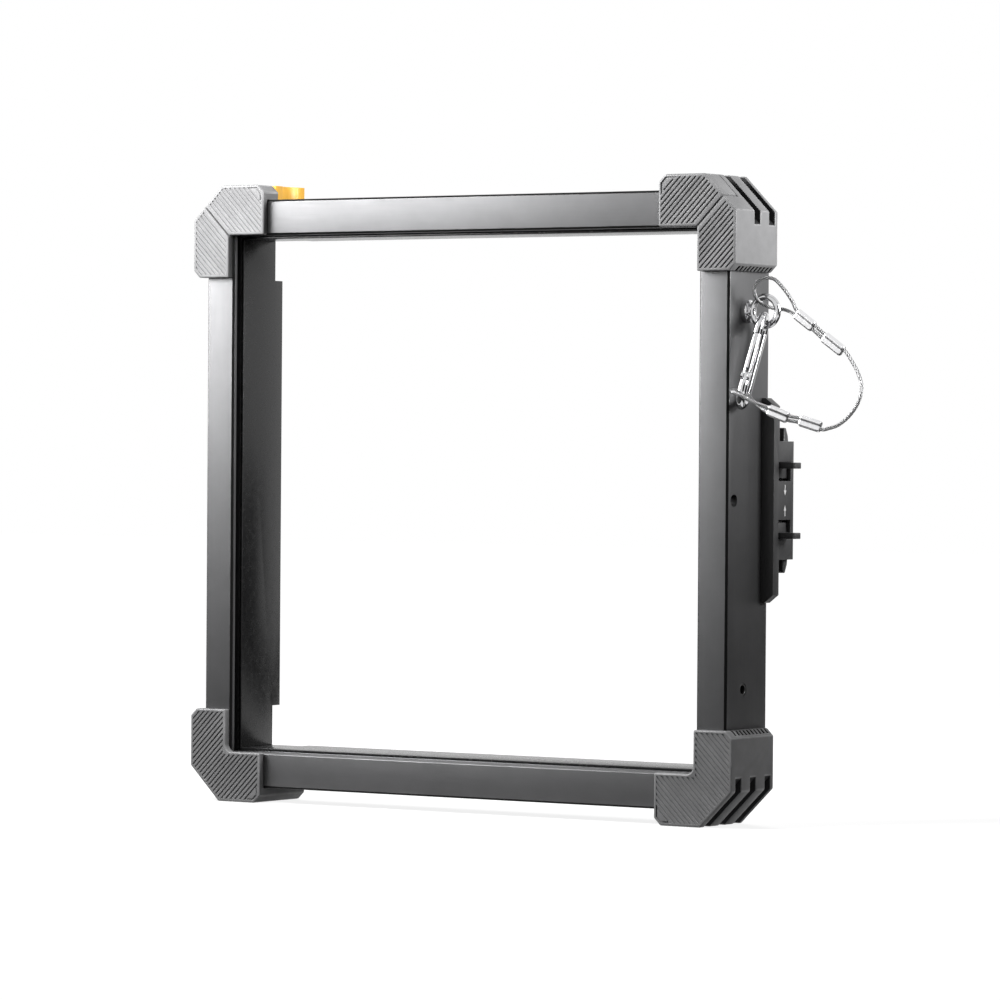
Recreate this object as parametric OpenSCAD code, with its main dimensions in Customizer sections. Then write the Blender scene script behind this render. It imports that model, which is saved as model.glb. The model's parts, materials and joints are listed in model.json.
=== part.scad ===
// Slide-in accessory frame for a square panel light, with a lift gate, squeeze latches and a safety tether.
// Millimetres. +X right, +Y towards the light, +Z up. Origin: centre of the opening on the rear seat plane.

/* [Frame] */
// Overall width over the corner bumpers
frame_w = 360; // [350:1:400]
// Overall height over the corner bumpers
frame_h = 350; // [345:1:400]
// Depth from the front of the bumpers to the rear seat
frame_d = 46; // [45:0.5:50]

/* [Rails] */
// Step from the bumpers' sides in to the side rails
side_inset = 6.5; // [5.5:0.5:8]
// Step from the bumpers' top in to the level rails
level_inset = 8.4; // [8:0.1:10]
// Face width of the side rails
side_rail_w = 16.8; // [16:0.1:18]
// Face width of the level rails
level_rail_w = 20.1; // [19:0.1:22]
// Step from the front of the bumpers back to the rails
rail_recess = 4.4; // [4.4:0.1:6]
// Thickness of the rails' front flange
front_flange = 3.2; // [2.8:0.1:4]
// Overhang of the side rails' front flange into the opening
flange_over = 2; // [1:0.1:2.2]
// Width of the accessory groove
groove_w = 6.9; // [6.5:0.1:7.4]
// Depth of the accessory groove
groove_depth = 8; // [6:0.5:8.5]
// Outer wall of the rails
rail_wall = 3; // [2.5:0.1:3.5]
// Inner walls of the rails
inner_wall = 2.5; // [2:0.1:3]
// Rear wall of the rails
rear_wall = 1.8; // [1.5:0.1:2]
// Bevel of the rails' front edges
edge_bevel = 1.2; // [0.5:0.1:1.5]
// Diameter of the accessory lock hole in the right rail
lock_hole_d = 6.8; // [5:0.1:8]

/* [Bumpers] */
// Depth of the corner bumpers
bumper_d = 44; // [43:0.5:45]
// Length of the bumpers' level arms
level_arm = 48.7; // [46:0.1:56]
// Length of the bumpers' upright arms
upright_arm = 52.2; // [48:0.1:60]
// Face width of the level arms
level_arm_w = 28.2; // [27.8:0.1:28.4]
// Face width of the upright arms
upright_arm_w = 24.2; // [23.8:0.1:24.6]
// Corner chamfer of the bumpers
corner_chamfer = 19.6; // [18:0.1:21]
// Chamfer at the arms' ends
arm_chamfer = 4; // [2:0.1:5]
// Inner fillet of the bottom bumpers
bumper_fillet = 4.5; // [2:0.1:5]
// Pitch of the front ribs
rib_pitch = 2.3; // [2:0.1:3.5]
// Gap between the front ribs
rib_gap = 0.9; // [0.5:0.1:1.2]
// Depth of the gaps between the front ribs
rib_depth = 0.7; // [0.4:0.1:1.2]
// Plain border round the front ribs
rib_border = 1.5; // [1:0.1:3]
// Plain patch at the level arms' end chamfers, beside the last rib
patch_w = 4; // [3:0.1:6]
// Width of the corner slots
slot_w = 6; // [4:0.1:7]
// Depth of the corner slots below the chamfer
slot_depth = 5.2; // [3:0.1:5.5]
// Pitch of the corner slots
slot_pitch = 15.3; // [14.5:0.1:15.5]
// Pitch of the notches in the upright arms' ends
notch_pitch = 3.7; // [3.4:0.1:4.2]
// Width of those notches
notch_w = 1.9; // [1:0.1:2.2]
// Height of those notches
notch_depth = 2.6; // [1.5:0.1:3]

/* [Gate] */
// Gap of the mitre seam between gate and frame
seam_gap = 1; // [0.9:0.1:1.5]
// Running gap between the gate's back and the frame
gate_gap = 0.5; // [0.3:0.1:0.8]
// Diameter of the gate's hinge pin
gate_pin_d = 4; // [3:0.1:4.4]
// Radial clearance of the gate on its pin
pin_clear = 0.05; // [0.02:0.01:0.1]
// Thickness of the gate rail's top lip
gate_lip = 3; // [2:0.1:4]
// Travel of the gate release
release_travel = 5.5; // [4:0.1:6]

/* [Liner] */
// Thickness of the inner liner
liner_t = 1.7; // [1.2:0.1:2.2]
// Length of the liner's skirt behind the rear seat
skirt = 6; // [4:0.5:9]
// Length of the cut-back at the ends of the skirt
skirt_notch = 22.6; // [20:0.1:30]

/* [Latch] */
// Half height of the latch's base flange
latch_half_h = 55.3; // [52:0.1:60]
// Half height of the latch's housing
housing_half_h = 32; // [32:0.1:36]
// Projection of the latch from the side rail
latch_out = 8; // [7.5:0.1:9]
// Depth of the latch's base flange on the rail
flange_depth = 6; // [6:0.1:8]
// Reach of the latch's housing behind the rear seat
housing_reach = 14.5; // [14:0.1:17]
// Wall of the latch's housing
housing_wall = 1.3; // [1.2:0.1:1.6]
// Outer wall of the latch's housing
housing_face = 2.45; // [2:0.05:2.8]
// Travel of each bolt
bolt_travel = 6.5; // [5:0.1:7]
// Height of the finger prongs' lower sides above the middle
prong_z = 17.3; // [16.5:0.1:18.5]
// Thickness of the finger prongs
prong_t = 3.3; // [2.5:0.1:4]
// Projection of the finger prongs from the housing
prong_out = 9.3; // [6:0.1:10]

/* [Tether] */
// Drop of the eye bolt below the upper bumpers' arms
eye_drop = 21.3; // [18:0.1:25]
// Distance of the eye bolt from the rear seat
eye_back = 24; // [22:0.5:26]
// Middle diameter of the eye
eye_d = 15.6; // [15:0.1:17]
// Wire of the eye
eye_wire = 3.6; // [3:0.1:4]
// Diameter of the tapped holes
tap_d = 5; // [4.2:0.1:6]
// Length of the snap hook
hook_len = 55; // [54:0.5:60]
// Wire of the snap hook
hook_wire = 5; // [4.5:0.1:5.4]
// Middle width of the snap hook
hook_w = 16; // [15:0.5:18]
// Diameter of the wire rope
rope_d = 2; // [1.5:0.1:2]
// Diameter of the ferrules' barrels
ferrule_d = 4; // [3.6:0.1:4.4]

/* [Hidden] */
$fn = 48;

// Overshoot of cutting bodies
cut = 1;
// Slip fit between fixed pieces
slip = 0.1;

// Half sizes and faces of the frame
half_w = frame_w / 2;
half_h = frame_h / 2;
front_y = -frame_d;
rail_y = front_y + rail_recess;
groove_y = rail_y + front_flange;
split_y = groove_y + groove_w;
gate_y = split_y - gate_gap / 2;
beam_y = split_y + gate_gap / 2;
bumper_y = front_y + bumper_d;
rail_x = half_w - side_inset;
rail_in_x = rail_x - side_rail_w;
rail_z = half_h - level_inset;
rail_in_z = rail_z - level_rail_w;
chamber_y = split_y + inner_wall;
groove_end_x = rail_in_x + groove_depth;
groove_end_z = rail_in_z + groove_depth;

// Bumper outline: inner edges, arm ends, and the chamfer as a sum of x and z
arm_in_x = half_w - upright_arm_w;
arm_in_z = half_h - level_arm_w;
arm_end_x = half_w - level_arm;
arm_end_z = half_h - upright_arm;
chamfer_sum = half_w + half_h - corner_chamfer;
slot_floor = 1.5;
block_sum = chamfer_sum - (slot_depth + slot_floor) * sqrt(2);
slot_start = 7.6;
slot_first_y = front_y + slot_start;
notch_start = 2;
notch_margin = 0.3;
notch_edge = 0.8;

// Corner blocks and their screws
tongue_len = 15;
tongue_h = 8;
screw_r = 1.5;
screw_bite_r = 1.3;
screw_bite = 3.5;
screw_head_r = 2.75;
screw_head_h = 2;
screw_room = 0.15;
head_margin = 0.3;
corner_screw_edge = screw_head_r + screw_room + head_margin;

// Gate hinge and gate rail
pin_from_side = 20.9;
pin_from_top = 4.4;
pin_x = half_w - pin_from_side;
pin_z = half_h - pin_from_top;
pin_cover = 2;
pin_front = front_y + pin_cover;
pin_bite = 4.3;
pin_fit = 0.01;
gate_rail_short = 4.4;
gate_rail_end = arm_in_x - gate_rail_short;
gate_head_r = 2;
gate_screw_edge = [4, 6];
gate_screw_x = [arm_end_x + gate_screw_edge[0], gate_rail_end - gate_screw_edge[1]];
gate_screw_y = (groove_y + gate_y) / 2;

// Gate release: a block that slides on the top beam, with a lip over the gate's lug
release_step = 2.2;
release_in = arm_end_x + release_step;
release_gap = 0.4;
lug_w = 3.5;
lug_h = 4;
lug_depth = 5.8;
finger_len = 6.3;
nose_len = 3;
release_notch_x = release_in + finger_len;
lug_x = release_notch_x + release_gap + release_travel;
release_out = lug_x + lug_w + release_gap + nose_len;
bay_room = 0.5;
bay_x = release_out + release_travel + bay_room;
release_room = 0.3;
release_inset = 1;
release_front = beam_y + release_room;
release_rear = bumper_y - release_inset;
release_notch_y = gate_y + lug_depth + release_gap;
stem_in = 2.5;
stem_x = release_in + stem_in;
stem_len = 10;
stem_w = 6;
stem_back = 3;
stem_y = (release_front + release_rear) / 2 + stem_back;
keeper_t = 2.2;
keeper_over = 3;
keeper_drop = 0.3;
release_spring_d = 5;
release_spring_wire = 0.6;
release_spring_turns = 6;
release_bore = 8;
spring_room = 0.3;
spring_seat = 0.1;
scoop_r = 14;
scoop_depth = 2.2;

// Step from the rear seat to the cut-back ends of the liner
skirt_step = 1;

// Squeeze latch
latch_x = rail_x + latch_out;
flange_rear = -0.5;
flange_front = flange_rear - flange_depth;
flange_slope_z = 4.3;
flange_slope_x = 5.5;
cover_t = 1.3;
cover_x = rail_x + slip;
bolt_room = 0.15;
bolt_out_x = latch_x - housing_face - bolt_room;
bolt_in_x = cover_x + cover_t + bolt_room;
bolt_play = 0.2;
bolt_web = 0.6;
bolt_front = housing_wall + bolt_play;
bolt_rear = housing_reach - housing_wall - bolt_play;
bolt_in_z = 12;
nose_reach = 7.3;
nose_front = 8.4;
nose_tip_y = 10.4;
nose_slope_y = 12.6;
nose_slope_z = 4.4;
mid_wall = 2.5;
ear_gap = 0.6;
ear_h = 6.5;
prong_y = -0.4;
prong_depth = 7.7;
prong_bevel = 0.6;
prong_root = 0.5;
prong_room = 0.3;
window_front = -1.2;
window_rear = 11.5;
latch_spring_d = 3;
latch_spring_wire = 0.45;
latch_spring_turns = 8;
spring_notch_w = 3.6;
spring_notch_z = 24;
spring_y = 9.6;
latch_screw_z = 46;
latch_screw_y = -4;
latch_screw_r = 1.25;
latch_head_r = 2;
latch_head_h = 1.6;
latch_screw_bite = 5;
access_r = 3;
cover_screw_y = [4, 10.5];
cover_screw_r = 1;
cover_head_r = 1.8;
cover_head_h = 0.7;
cover_screw_bite = 4;

// Eye bolt, inserts and snap hook
eye_y = -eye_back;
eye_collar_r = 6.2;
eye_collar_h = 3;
eye_neck_r = 3;
eye_out = 12;
eye_x = rail_x + eye_out;
eye_z = arm_end_z - eye_drop;
eye = [eye_x, eye_y, eye_z];
shank_clear = 0.05;
insert_wall = 2;
insert_neck_wall = 0.9;
insert_r = tap_d / 2 + insert_wall;
insert_neck_r = tap_d / 2 + insert_neck_wall;
insert_len = 8;
insert_x = rail_x - rail_wall - insert_len;
hang_angle = 257;
hang = eye + eye_d / 2 * [cos(hang_angle), 0, sin(hang_angle)];
hook_clear = 0.6;
hook_lean_x = -18.9;
hook_lean_y = 5.6;
hook_turn = 21.7;
hook_r = hook_w / 2;
hook_run = hook_len - hook_wire - hook_w;
hook_nose = 4;
hook_pivot_up = 6;
hook_pivot = hook_run - hook_pivot_up;
hook_gate_r = hook_wire / 2 - slip;
hook_gate_gap = 0.4;
hook_tongue_t = 1.8;
hook_tongue_clear = 0.15;
hook_tongue_inset = 1;
hook_tongue_w = hook_wire - 2 * hook_tongue_inset;
hook_tongue_root = 0.5;
hook_tongue_top = 1.2;
hook_slit = 4;
hook_rivet_r = 0.8;
hook_shoulder = 2.9;

// Route of the wire rope from the eye's middle: from its tail in the second ferrule to its tail in the third
ROUTE = [
  [47.9, -1.5, -22.7], [36.9, -1.5, -15.1], [29.9, -1.5, -9.6], [19.9, -1.5, -2.6],
  [14.5, 2.5, -0.5], [8.5, 5.5, 1], [4, 5.5, 1.5], [1.5, 2, 2.3], [-0.3, -3, 4], [-1.5, -7.5, 7.5],
  [-1.5, -8.5, 12.5], [2.5, -8.5, 17], [9, -6.5, 17], [14.5, -4, 11], [18, -2, 5],
  [21.1, -1.5, -0.4], [31.1, -1.5, -7.4], [38.1, -1.5, -12.9], [49.1, -1.5, -20.5],
  [55, -2.5, -27], [60, -4, -34], [63, -6, -41], [62.5, -8.5, -48.5], [58.5, -10.5, -55.5],
  [53, -12.5, -60.5], [48, -14.5, -62.5], [44, -16, -63], [32, -17.5, -59.5], [25, -19, -58.1],
  [14, -20, -54.1], [4.5, -17.5, -49], [-0.5, -15.3, -45.5], [-5, -15, -43], [-7.7, -19, -42.5],
  [-5.5, -23.7, -43.2], [-0.5, -23.9, -45.2], [4.5, -22.4, -48.1], [15, -20, -51.9],
  [26, -19, -55.9], [33, -17.5, -57.3], [44, -16, -60.7]
];
ROPE = [for (p = ROUTE) eye + p];
// Each ferrule: indices of the route's points at its two ends, on both strands
FERRULES = [[3, 15, 2, 16], [1, 17, 0, 18], [26, 40, 27, 39], [28, 38, 29, 37]];
rope_sides = 8;
rope_steps = 2;

// Helpers

function unit(v) = v / norm(v);
function along(p, i) = p[max(0, min(i, len(p) - 1))];
function tangents(p) = [for (i = [0 : len(p) - 1]) unit(along(p, i + 1) - along(p, i - 1))];
function square_to(n, t) = unit(n - t * (n * t));
function carried(t, n, i = 0) = i == len(t) ? []
  : let (m = square_to(n, t[i])) concat([m], carried(t, m, i + 1));
function curve_point(p, i, u) =
  let (a = along(p, i - 1), b = along(p, i), c = along(p, i + 1), d = along(p, i + 2))
  b + u / 2 * (c - a + u * (2 * a - 5 * b + 4 * c - d + u * (3 * b - a - 3 * c + d)));
function curve(p, steps) = concat(
  [for (i = [0 : len(p) - 2]) for (k = [0 : steps - 1]) curve_point(p, i, k / steps)], [p[len(p) - 1]]);
function helix(r, rise, turns, steps) = [for (i = [0 : turns * steps])
  let (angle = 360 * i / steps) [r * cos(angle), r * sin(angle), rise * i / (turns * steps)]];

// Round tube of triangles along a list of points
module tube(p, r, sides, start) {
  t = tangents(p);
  n = carried(t, start);
  last = (len(p) - 1) * sides;
  points = [for (i = [0 : len(p) - 1]) for (k = [0 : sides - 1])
    p[i] + r * (cos(360 * k / sides) * n[i] + sin(360 * k / sides) * cross(t[i], n[i]))];
  walls = [for (i = [0 : len(p) - 2]) for (k = [0 : sides - 1]) let (
      a = i * sides + k, b = i * sides + (k + 1) % sides, c = a + sides, d = b + sides)
    each [[a, c, b], [b, c, d]]];
  caps = [for (k = [1 : sides - 2]) each [[0, k, k + 1], [last, last + k + 1, last + k]]];
  polyhedron(points, concat(walls, caps), convexity = 6);
}

// Compression spring on +Z from the origin
module coil(d, wire, length, turns) {
  path = helix((d - wire) / 2, length - wire, turns, 8);
  echo(least_gap = (length - wire) / turns - wire);
  translate([0, 0, wire / 2]) tube(path, wire / 2, 6, [1, 0, 0]);
}

// Outline in x and z, drawn out along Y from y0 to y1
module prism(y0, y1) {
  translate([0, y1, 0]) rotate([90, 0, 0]) linear_extrude(y1 - y0) children();
}

// Outline in y and z, drawn out along X from x0 to x1
module slab(x0, x1) {
  translate([x0, 0, 0]) rotate([90, 0, 90]) linear_extrude(x1 - x0) children();
}

// Box from one corner to the opposite one
module box(a, b) {
  translate(a) cube(b - a);
}

// Cylinder on +X, +Y or +Z from a point
module rod_x(p, r, length) {
  translate(p) rotate([0, 90, 0]) cylinder(r = r, h = length);
}
module rod_y(p, r, length) {
  translate(p) rotate([-90, 0, 0]) cylinder(r = r, h = length);
}

module rod_z(p, r, length) {
  translate(p) cylinder(r = r, h = length);
}

// A corner drawn at the upper right, placed at any corner
module at_corner(left, low) {
  mirror([left ? 1 : 0, 0, 0]) mirror([0, 0, low ? 1 : 0]) children();
}

module left_side() {
  mirror([1, 0, 0]) children();
}
module low_half() {
  mirror([0, 0, 1]) children();
}

// Rails

// Bevels of both front edges, on a face of a given width
module front_bevels(w) {
  for (x = [0, w]) translate([x, rail_y]) rotate(45) square(edge_bevel * sqrt(2), center = true);
}

// Cross section of a grooved rail: x inwards from the outer face, y as in the frame
module rail_profile(w, over) {
  difference() {
    union() {
      translate([0, rail_y]) square([w, -rail_y]);
      translate([0, rail_y]) square([w + over, front_flange]);
    }
    translate([w - groove_depth, groove_y]) square([groove_depth + cut, groove_w]);
    translate([rail_wall, chamber_y]) square([w - rail_wall - inner_wall, -rear_wall - chamber_y]);
    front_bevels(w + over);
  }
}

module gate_profile() {
  difference() {
    union() {
      translate([0, rail_y]) square([level_rail_w, front_flange]);
      translate([0, rail_y]) square([gate_lip, gate_y - rail_y]);
    }
    front_bevels(level_rail_w);
  }
}

module beam_profile() {
  difference() {
    translate([0, beam_y]) square([level_rail_w, -beam_y]);
    translate([rail_wall, beam_y + inner_wall])
      square([level_rail_w - rail_wall - inner_wall, -rear_wall - beam_y - inner_wall]);
  }
}

// Upright rail on the right, and level rail at the bottom
module upright_run() {
  translate([rail_x, 0, -rail_in_z]) left_side()
    linear_extrude(2 * rail_in_z) rail_profile(side_rail_w, flange_over);
}
module level_run(length) {
  translate([length / 2, 0, -rail_z]) rotate([0, -90, 0]) linear_extrude(length) children();
}

module latch_screw_holes() {
  for (z = [-latch_screw_z, latch_screw_z]) {
    rod_x([rail_x - rail_wall - cut, latch_screw_y, z], latch_screw_r + screw_room, rail_wall + 2 * cut);
    rod_x([rail_in_x - cut, latch_screw_y, z], access_r, inner_wall + 2 * cut);
  }
}

module side_rail() {
  difference() {
    upright_run();
    latch_screw_holes();
  }
}

module left_rail() {
  color("#4b4b4b") left_side() side_rail();
}

module right_rail() {
  color("#4b4b4b") difference() {
    side_rail();
    rod_x([groove_end_x - cut, groove_y + groove_w / 2, 0], lock_hole_d / 2, side_rail_w);
    for (z = [-eye_z, eye_z])
      rod_x([rail_x - rail_wall - cut, eye_y, z], insert_neck_r + slip, rail_wall + 2 * cut);
  }
}

module bottom_rail() {
  color("#454545") level_run(2 * rail_in_x) rail_profile(level_rail_w, 0);
}

module top_beam() {
  slot_in = stem_x - slip;
  slot_out = stem_x + stem_len + release_travel + slip;
  color("#454545") difference() {
    low_half() level_run(2 * rail_in_x) beam_profile();
    left_side() box([slot_in, stem_y - stem_w / 2 - slip, rail_z - rail_wall - cut],
      [slot_out, stem_y + stem_w / 2 + slip, rail_z + cut]);
  }
}

module gate_rail() {
  color("#5a5a5a") difference() {
    low_half() level_run(2 * gate_rail_end) gate_profile();
    for (side = [-1, 1]) for (x = gate_screw_x)
      rod_z([side * x, gate_screw_y, rail_z - gate_lip - cut], screw_r + screw_room, gate_lip + 2 * cut);
  }
}

// Corner blocks

module block_outline() {
  polygon([[rail_in_x, rail_in_z], [rail_x, rail_in_z], [rail_x, block_sum - rail_x],
    [block_sum - rail_z, rail_z], [rail_in_x, rail_z]]);
}

// Half plane above the mitre seam, moved off the seam by a gap
module above_seam(gap) {
  far = frame_w;
  step = gap / sqrt(2);
  translate([arm_in_x - step, arm_in_z + step]) polygon([[-far, -far], [far, far], [-far, far]]);
}
module below_seam(gap) {
  far = frame_w;
  step = gap / sqrt(2);
  translate([arm_in_x + step, arm_in_z - step]) polygon([[-far, -far], [far, far], [far, -far]]);
}

// Places of the long corner screws, in x and z
function corner_screw_places(top) = concat(
  [[(groove_end_x + rail_x) / 2, rail_in_z + corner_screw_edge]],
  top ? [] : [[rail_in_x + corner_screw_edge, (groove_end_z + rail_z) / 2]]);

module corner_block(top) {
  difference() {
    union() {
      difference() {
        prism(rail_y, 0) block_outline();
        box([0, groove_y, 0], [groove_end_x, split_y, groove_end_z]);
        if (top) prism(rail_y - cut, beam_y) above_seam(-seam_gap / 2);
      }
      box([rail_in_x + inner_wall + slip, chamber_y + slip, rail_in_z - tongue_len],
        [rail_x - rail_wall - slip, -rear_wall - slip, rail_in_z + cut]);
      box([rail_in_x - tongue_len, beam_y + inner_wall + slip, rail_in_z + inner_wall + slip],
        [rail_in_x + cut, -rear_wall - slip, rail_in_z + inner_wall + tongue_h]);
    }
    for (p = corner_screw_places(top)) {
      rod_y([p[0], rail_y - cut, p[1]], screw_r + screw_room, 2 * cut - rail_y);
      rod_y([p[0], -screw_head_h - slip, p[1]], screw_head_r + screw_room, screw_head_h + cut);
    }
  }
}

module bottom_left_corner() {
  color("#303030") at_corner(true, true) corner_block(false);
}
module bottom_right_corner() {
  color("#303030") at_corner(false, true) corner_block(false);
}
module top_left_corner() {
  color("#303030") at_corner(true, false) corner_block(true);
}
module top_right_corner() {
  color("#303030") at_corner(false, false) corner_block(true);
}

module corner_screw(p) {
  rod_y([p[0], rail_y - screw_bite, p[1]], screw_bite_r, screw_bite + cut);
  rod_y([p[0], rail_y, p[1]], screw_r, -rail_y - slip);
  rod_y([p[0], -screw_head_h - slip, p[1]], screw_head_r, screw_head_h);
}

module corner_screws() {
  color("#8a8a8a") for (left = [false, true]) for (low = [false, true])
    at_corner(left, low) for (p = corner_screw_places(!low)) corner_screw(p);
}

// Bumpers

// Outline of a bumper at the upper right, drawn in by a margin
function bumper_outline(m) =
  let (k = m * (sqrt(2) - 1), e = arm_chamfer)
  [[arm_end_x + m, arm_in_z + m], [arm_end_x + m, half_h - e - k], [arm_end_x + e + k, half_h - m],
    [chamfer_sum - half_h - k, half_h - m], [half_w - m, chamfer_sum - half_w - k],
    [half_w - m, arm_end_z + e + k], [half_w - e - k, arm_end_z + m], [arm_in_x + m, arm_end_z + m],
    [arm_in_x + m, arm_in_z + m]];

// Space that rails and corner block take inside a bumper
module rail_space() {
  prism(rail_y, cut) polygon([[0, 0], [rail_x, 0], [rail_x, block_sum - rail_x],
    [block_sum - rail_z, rail_z], [0, rail_z]]);
}

// Gaps between the front ribs, which run along the corner's diagonal, and round the level arm's end patch
module rib_gaps() {
  field = bumper_outline(rib_border);
  first = -ceil(upright_arm / rib_pitch);
  reach = (level_arm - upright_arm_w + level_arm_w - arm_chamfer) / sqrt(2) - rib_border;
  last = floor((reach - patch_w) / rib_pitch - 0.5);
  prism(front_y - cut, front_y + rib_depth) intersection() {
    polygon(field);
    children();
    translate([arm_in_x, arm_in_z]) rotate(45) for (i = [first : last])
      translate([-frame_w / 2, (i + 0.5) * rib_pitch - rib_gap / 2]) square([frame_w, rib_gap]);
  }
  prism(front_y - cut, front_y + rib_depth) intersection() {
    difference() {
      polygon(field);
      polygon(bumper_outline(rib_border + rib_gap));
    }
    translate([arm_in_x, arm_in_z]) rotate(45)
      translate([-frame_w / 2, (last + 0.5) * rib_pitch - rib_gap / 2]) square(frame_w);
  }
}

// Slots across the corner chamfer
module corner_slots(first) {
  floor_sum = chamfer_sum - slot_depth * sqrt(2);
  for (i = [first : 2]) {
    y = slot_first_y + i * slot_pitch;
    prism(y - slot_w / 2, y + slot_w / 2) polygon([[half_w + cut, floor_sum - half_w - cut],
      [half_w + cut, half_h + cut], [floor_sum - half_h - cut, half_h + cut]]);
  }
}

// Row of small notches in the upright arm's end
module end_notches() {
  row = rail_y + notch_start;
  count = floor((bumper_y - row - notch_margin) / notch_pitch);
  for (i = [0 : count - 1])
    box([rail_x + notch_edge, row + i * notch_pitch, arm_end_z - cut],
      [half_w + cut, row + i * notch_pitch + notch_w, arm_end_z + notch_depth]);
}

module screw_bites(top) {
  for (p = corner_screw_places(top)) rod_y([p[0], rail_y - screw_bite, p[1]], screw_bite_r, screw_bite + cut);
}

module bottom_bumper() {
  difference() {
    union() {
      prism(front_y, bumper_y) polygon(bumper_outline(0));
      prism(front_y, rail_y) translate([arm_in_x - bumper_fillet, arm_in_z - bumper_fillet]) difference() {
        square(bumper_fillet + slip);
        circle(bumper_fillet);
      }
    }
    rail_space();
    rib_gaps() square(frame_w);
    corner_slots(0);
    end_notches();
    screw_bites(false);
  }
}

// Fixed part of a split top bumper: all of it behind the gate, and the upright arm in front
module top_bumper() {
  difference() {
    union() {
      prism(beam_y, bumper_y) polygon(bumper_outline(0));
      prism(front_y, beam_y + cut) intersection() {
        polygon(bumper_outline(0));
        below_seam(seam_gap / 2);
      }
    }
    rail_space();
    rib_gaps() below_seam(seam_gap / 2 + rib_border);
    corner_slots(1);
    end_notches();
    screw_bites(true);
  }
}

// Gate's part of a split top bumper
module gate_bumper() {
  difference() {
    prism(front_y, gate_y) intersection() {
      polygon(bumper_outline(0));
      above_seam(seam_gap / 2);
    }
    box([0, rail_y, 0], [gate_rail_end, cut, rail_z]);
    box([0, groove_y, 0], [half_w, cut, groove_end_z]);
    rib_gaps() above_seam(seam_gap / 2 + rib_border);
    for (x = gate_screw_x) rod_z([x, gate_screw_y, rail_z - cut], screw_bite_r, cut + screw_bite + slip);
  }
}

module bottom_left_bumper() {
  color("#6b6b6b") at_corner(true, true) bottom_bumper();
}
module bottom_right_bumper() {
  color("#6b6b6b") at_corner(false, true) bottom_bumper();
}

module top_left_bumper() {
  color("#6b6b6b") left_side() difference() {
    top_bumper();
    box([0, beam_y - cut, rail_z], [bay_x, bumper_y + cut, half_h + cut]);
  }
}

module top_right_bumper() {
  color("#6b6b6b") difference() {
    top_bumper();
    rod_y([pin_x, beam_y - cut, pin_z], gate_pin_d / 2 + pin_fit, pin_bite + cut);
  }
}

module gate_left_bumper() {
  color("#6b6b6b") left_side() union() {
    gate_bumper();
    box([lug_x, gate_y - cut, rail_z + slip], [lug_x + lug_w, gate_y + lug_depth, rail_z + slip + lug_h]);
  }
}

module gate_right_bumper() {
  color("#6b6b6b") difference() {
    gate_bumper();
    rod_y([pin_x, pin_front, pin_z], gate_pin_d / 2 + pin_clear, gate_y - pin_front + cut);
  }
}

module gate_hinge_pin() {
  length = beam_y + pin_bite - pin_front - slip;
  color("silver") rod_y([pin_x, pin_front + slip, pin_z], gate_pin_d / 2, length);
}

module gate_screws() {
  color("#8a8a8a") for (side = [-1, 1]) for (x = gate_screw_x)
    translate([side * x, gate_screw_y, rail_z - gate_lip]) {
      cylinder(r = screw_r, h = gate_lip);
      cylinder(r = screw_bite_r, h = gate_lip + screw_bite);
      translate([0, 0, -screw_head_h]) cylinder(r = gate_head_r, h = screw_head_h);
    }
}

// Liner strips, each with its skirt cut back at the ends

module liner_outline(half) {
  back = -skirt_step;
  polygon([[split_y, -half], [split_y, half], [back, half], [back, half - skirt_notch],
    [skirt, half - skirt_notch], [skirt, skirt_notch - half], [back, skirt_notch - half], [back, -half]]);
}

module side_liner() {
  slab(rail_in_x - liner_t, rail_in_x) liner_outline(rail_in_z - liner_t);
}

module level_liner(front) {
  translate([0, 0, rail_in_z - liner_t]) linear_extrude(liner_t) intersection() {
    rotate(90) mirror([0, 1]) liner_outline(rail_in_x);
    translate([-rail_in_x, front]) square([2 * rail_in_x, skirt - front]);
  }
}

module liner_left() {
  color("#262626") left_side() side_liner();
}
module liner_right() {
  color("#262626") side_liner();
}
module liner_top() {
  color("#262626") level_liner(beam_y);
}
module liner_bottom() {
  color("#262626") low_half() level_liner(split_y);
}

// Gate release at the upper left

module release_block() {
  low = rail_z + slip;
  stem_low = rail_z - rail_wall - keeper_drop;
  middle_y = (release_front + release_rear) / 2;
  notch_out = lug_x + lug_w + release_gap;
  lip_low = low + lug_h + release_gap;
  bore_x = release_out - release_bore;
  difference() {
    union() {
      box([release_in, release_front, low], [release_out, release_rear, half_h]);
      box([stem_x, stem_y - stem_w / 2, stem_low], [stem_x + stem_len, stem_y + stem_w / 2, low + cut]);
    }
    box([release_notch_x, release_front - cut, low - cut], [notch_out, release_notch_y, lip_low]);
    box([release_notch_x, release_front - cut, low],
      [notch_out - release_travel, release_notch_y, half_h + cut]);
    rod_z([release_in - scoop_r + scoop_depth, middle_y, low - cut], scoop_r, level_inset + 2 * cut);
    rod_x([bore_x, stem_y, (low + half_h) / 2], release_spring_d / 2 + spring_room, release_bore + cut);
    rod_z([stem_x + stem_len / 2, stem_y, stem_low - cut], screw_bite_r, cut + screw_bite + slip);
  }
}

module gate_release() {
  color("#f9b233") left_side() release_block();
}

module release_keeper() {
  top = rail_z - rail_wall - keeper_drop;
  color("#a0a0a0") left_side() difference() {
    box([stem_x, stem_y - stem_w / 2 - keeper_over, top - keeper_t],
      [stem_x + stem_len, stem_y + stem_w / 2 + keeper_over, top]);
    rod_z([stem_x + stem_len / 2, stem_y, top - keeper_t - cut], screw_r + screw_room, keeper_t + 2 * cut);
  }
}

module release_screw() {
  top = rail_z - rail_wall - keeper_drop;
  color("#8a8a8a") left_side() translate([stem_x + stem_len / 2, stem_y, top - keeper_t]) {
    cylinder(r = screw_bite_r, h = keeper_t + screw_bite);
    translate([0, 0, -screw_head_h]) cylinder(r = screw_head_r, h = screw_head_h);
  }
}

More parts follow.
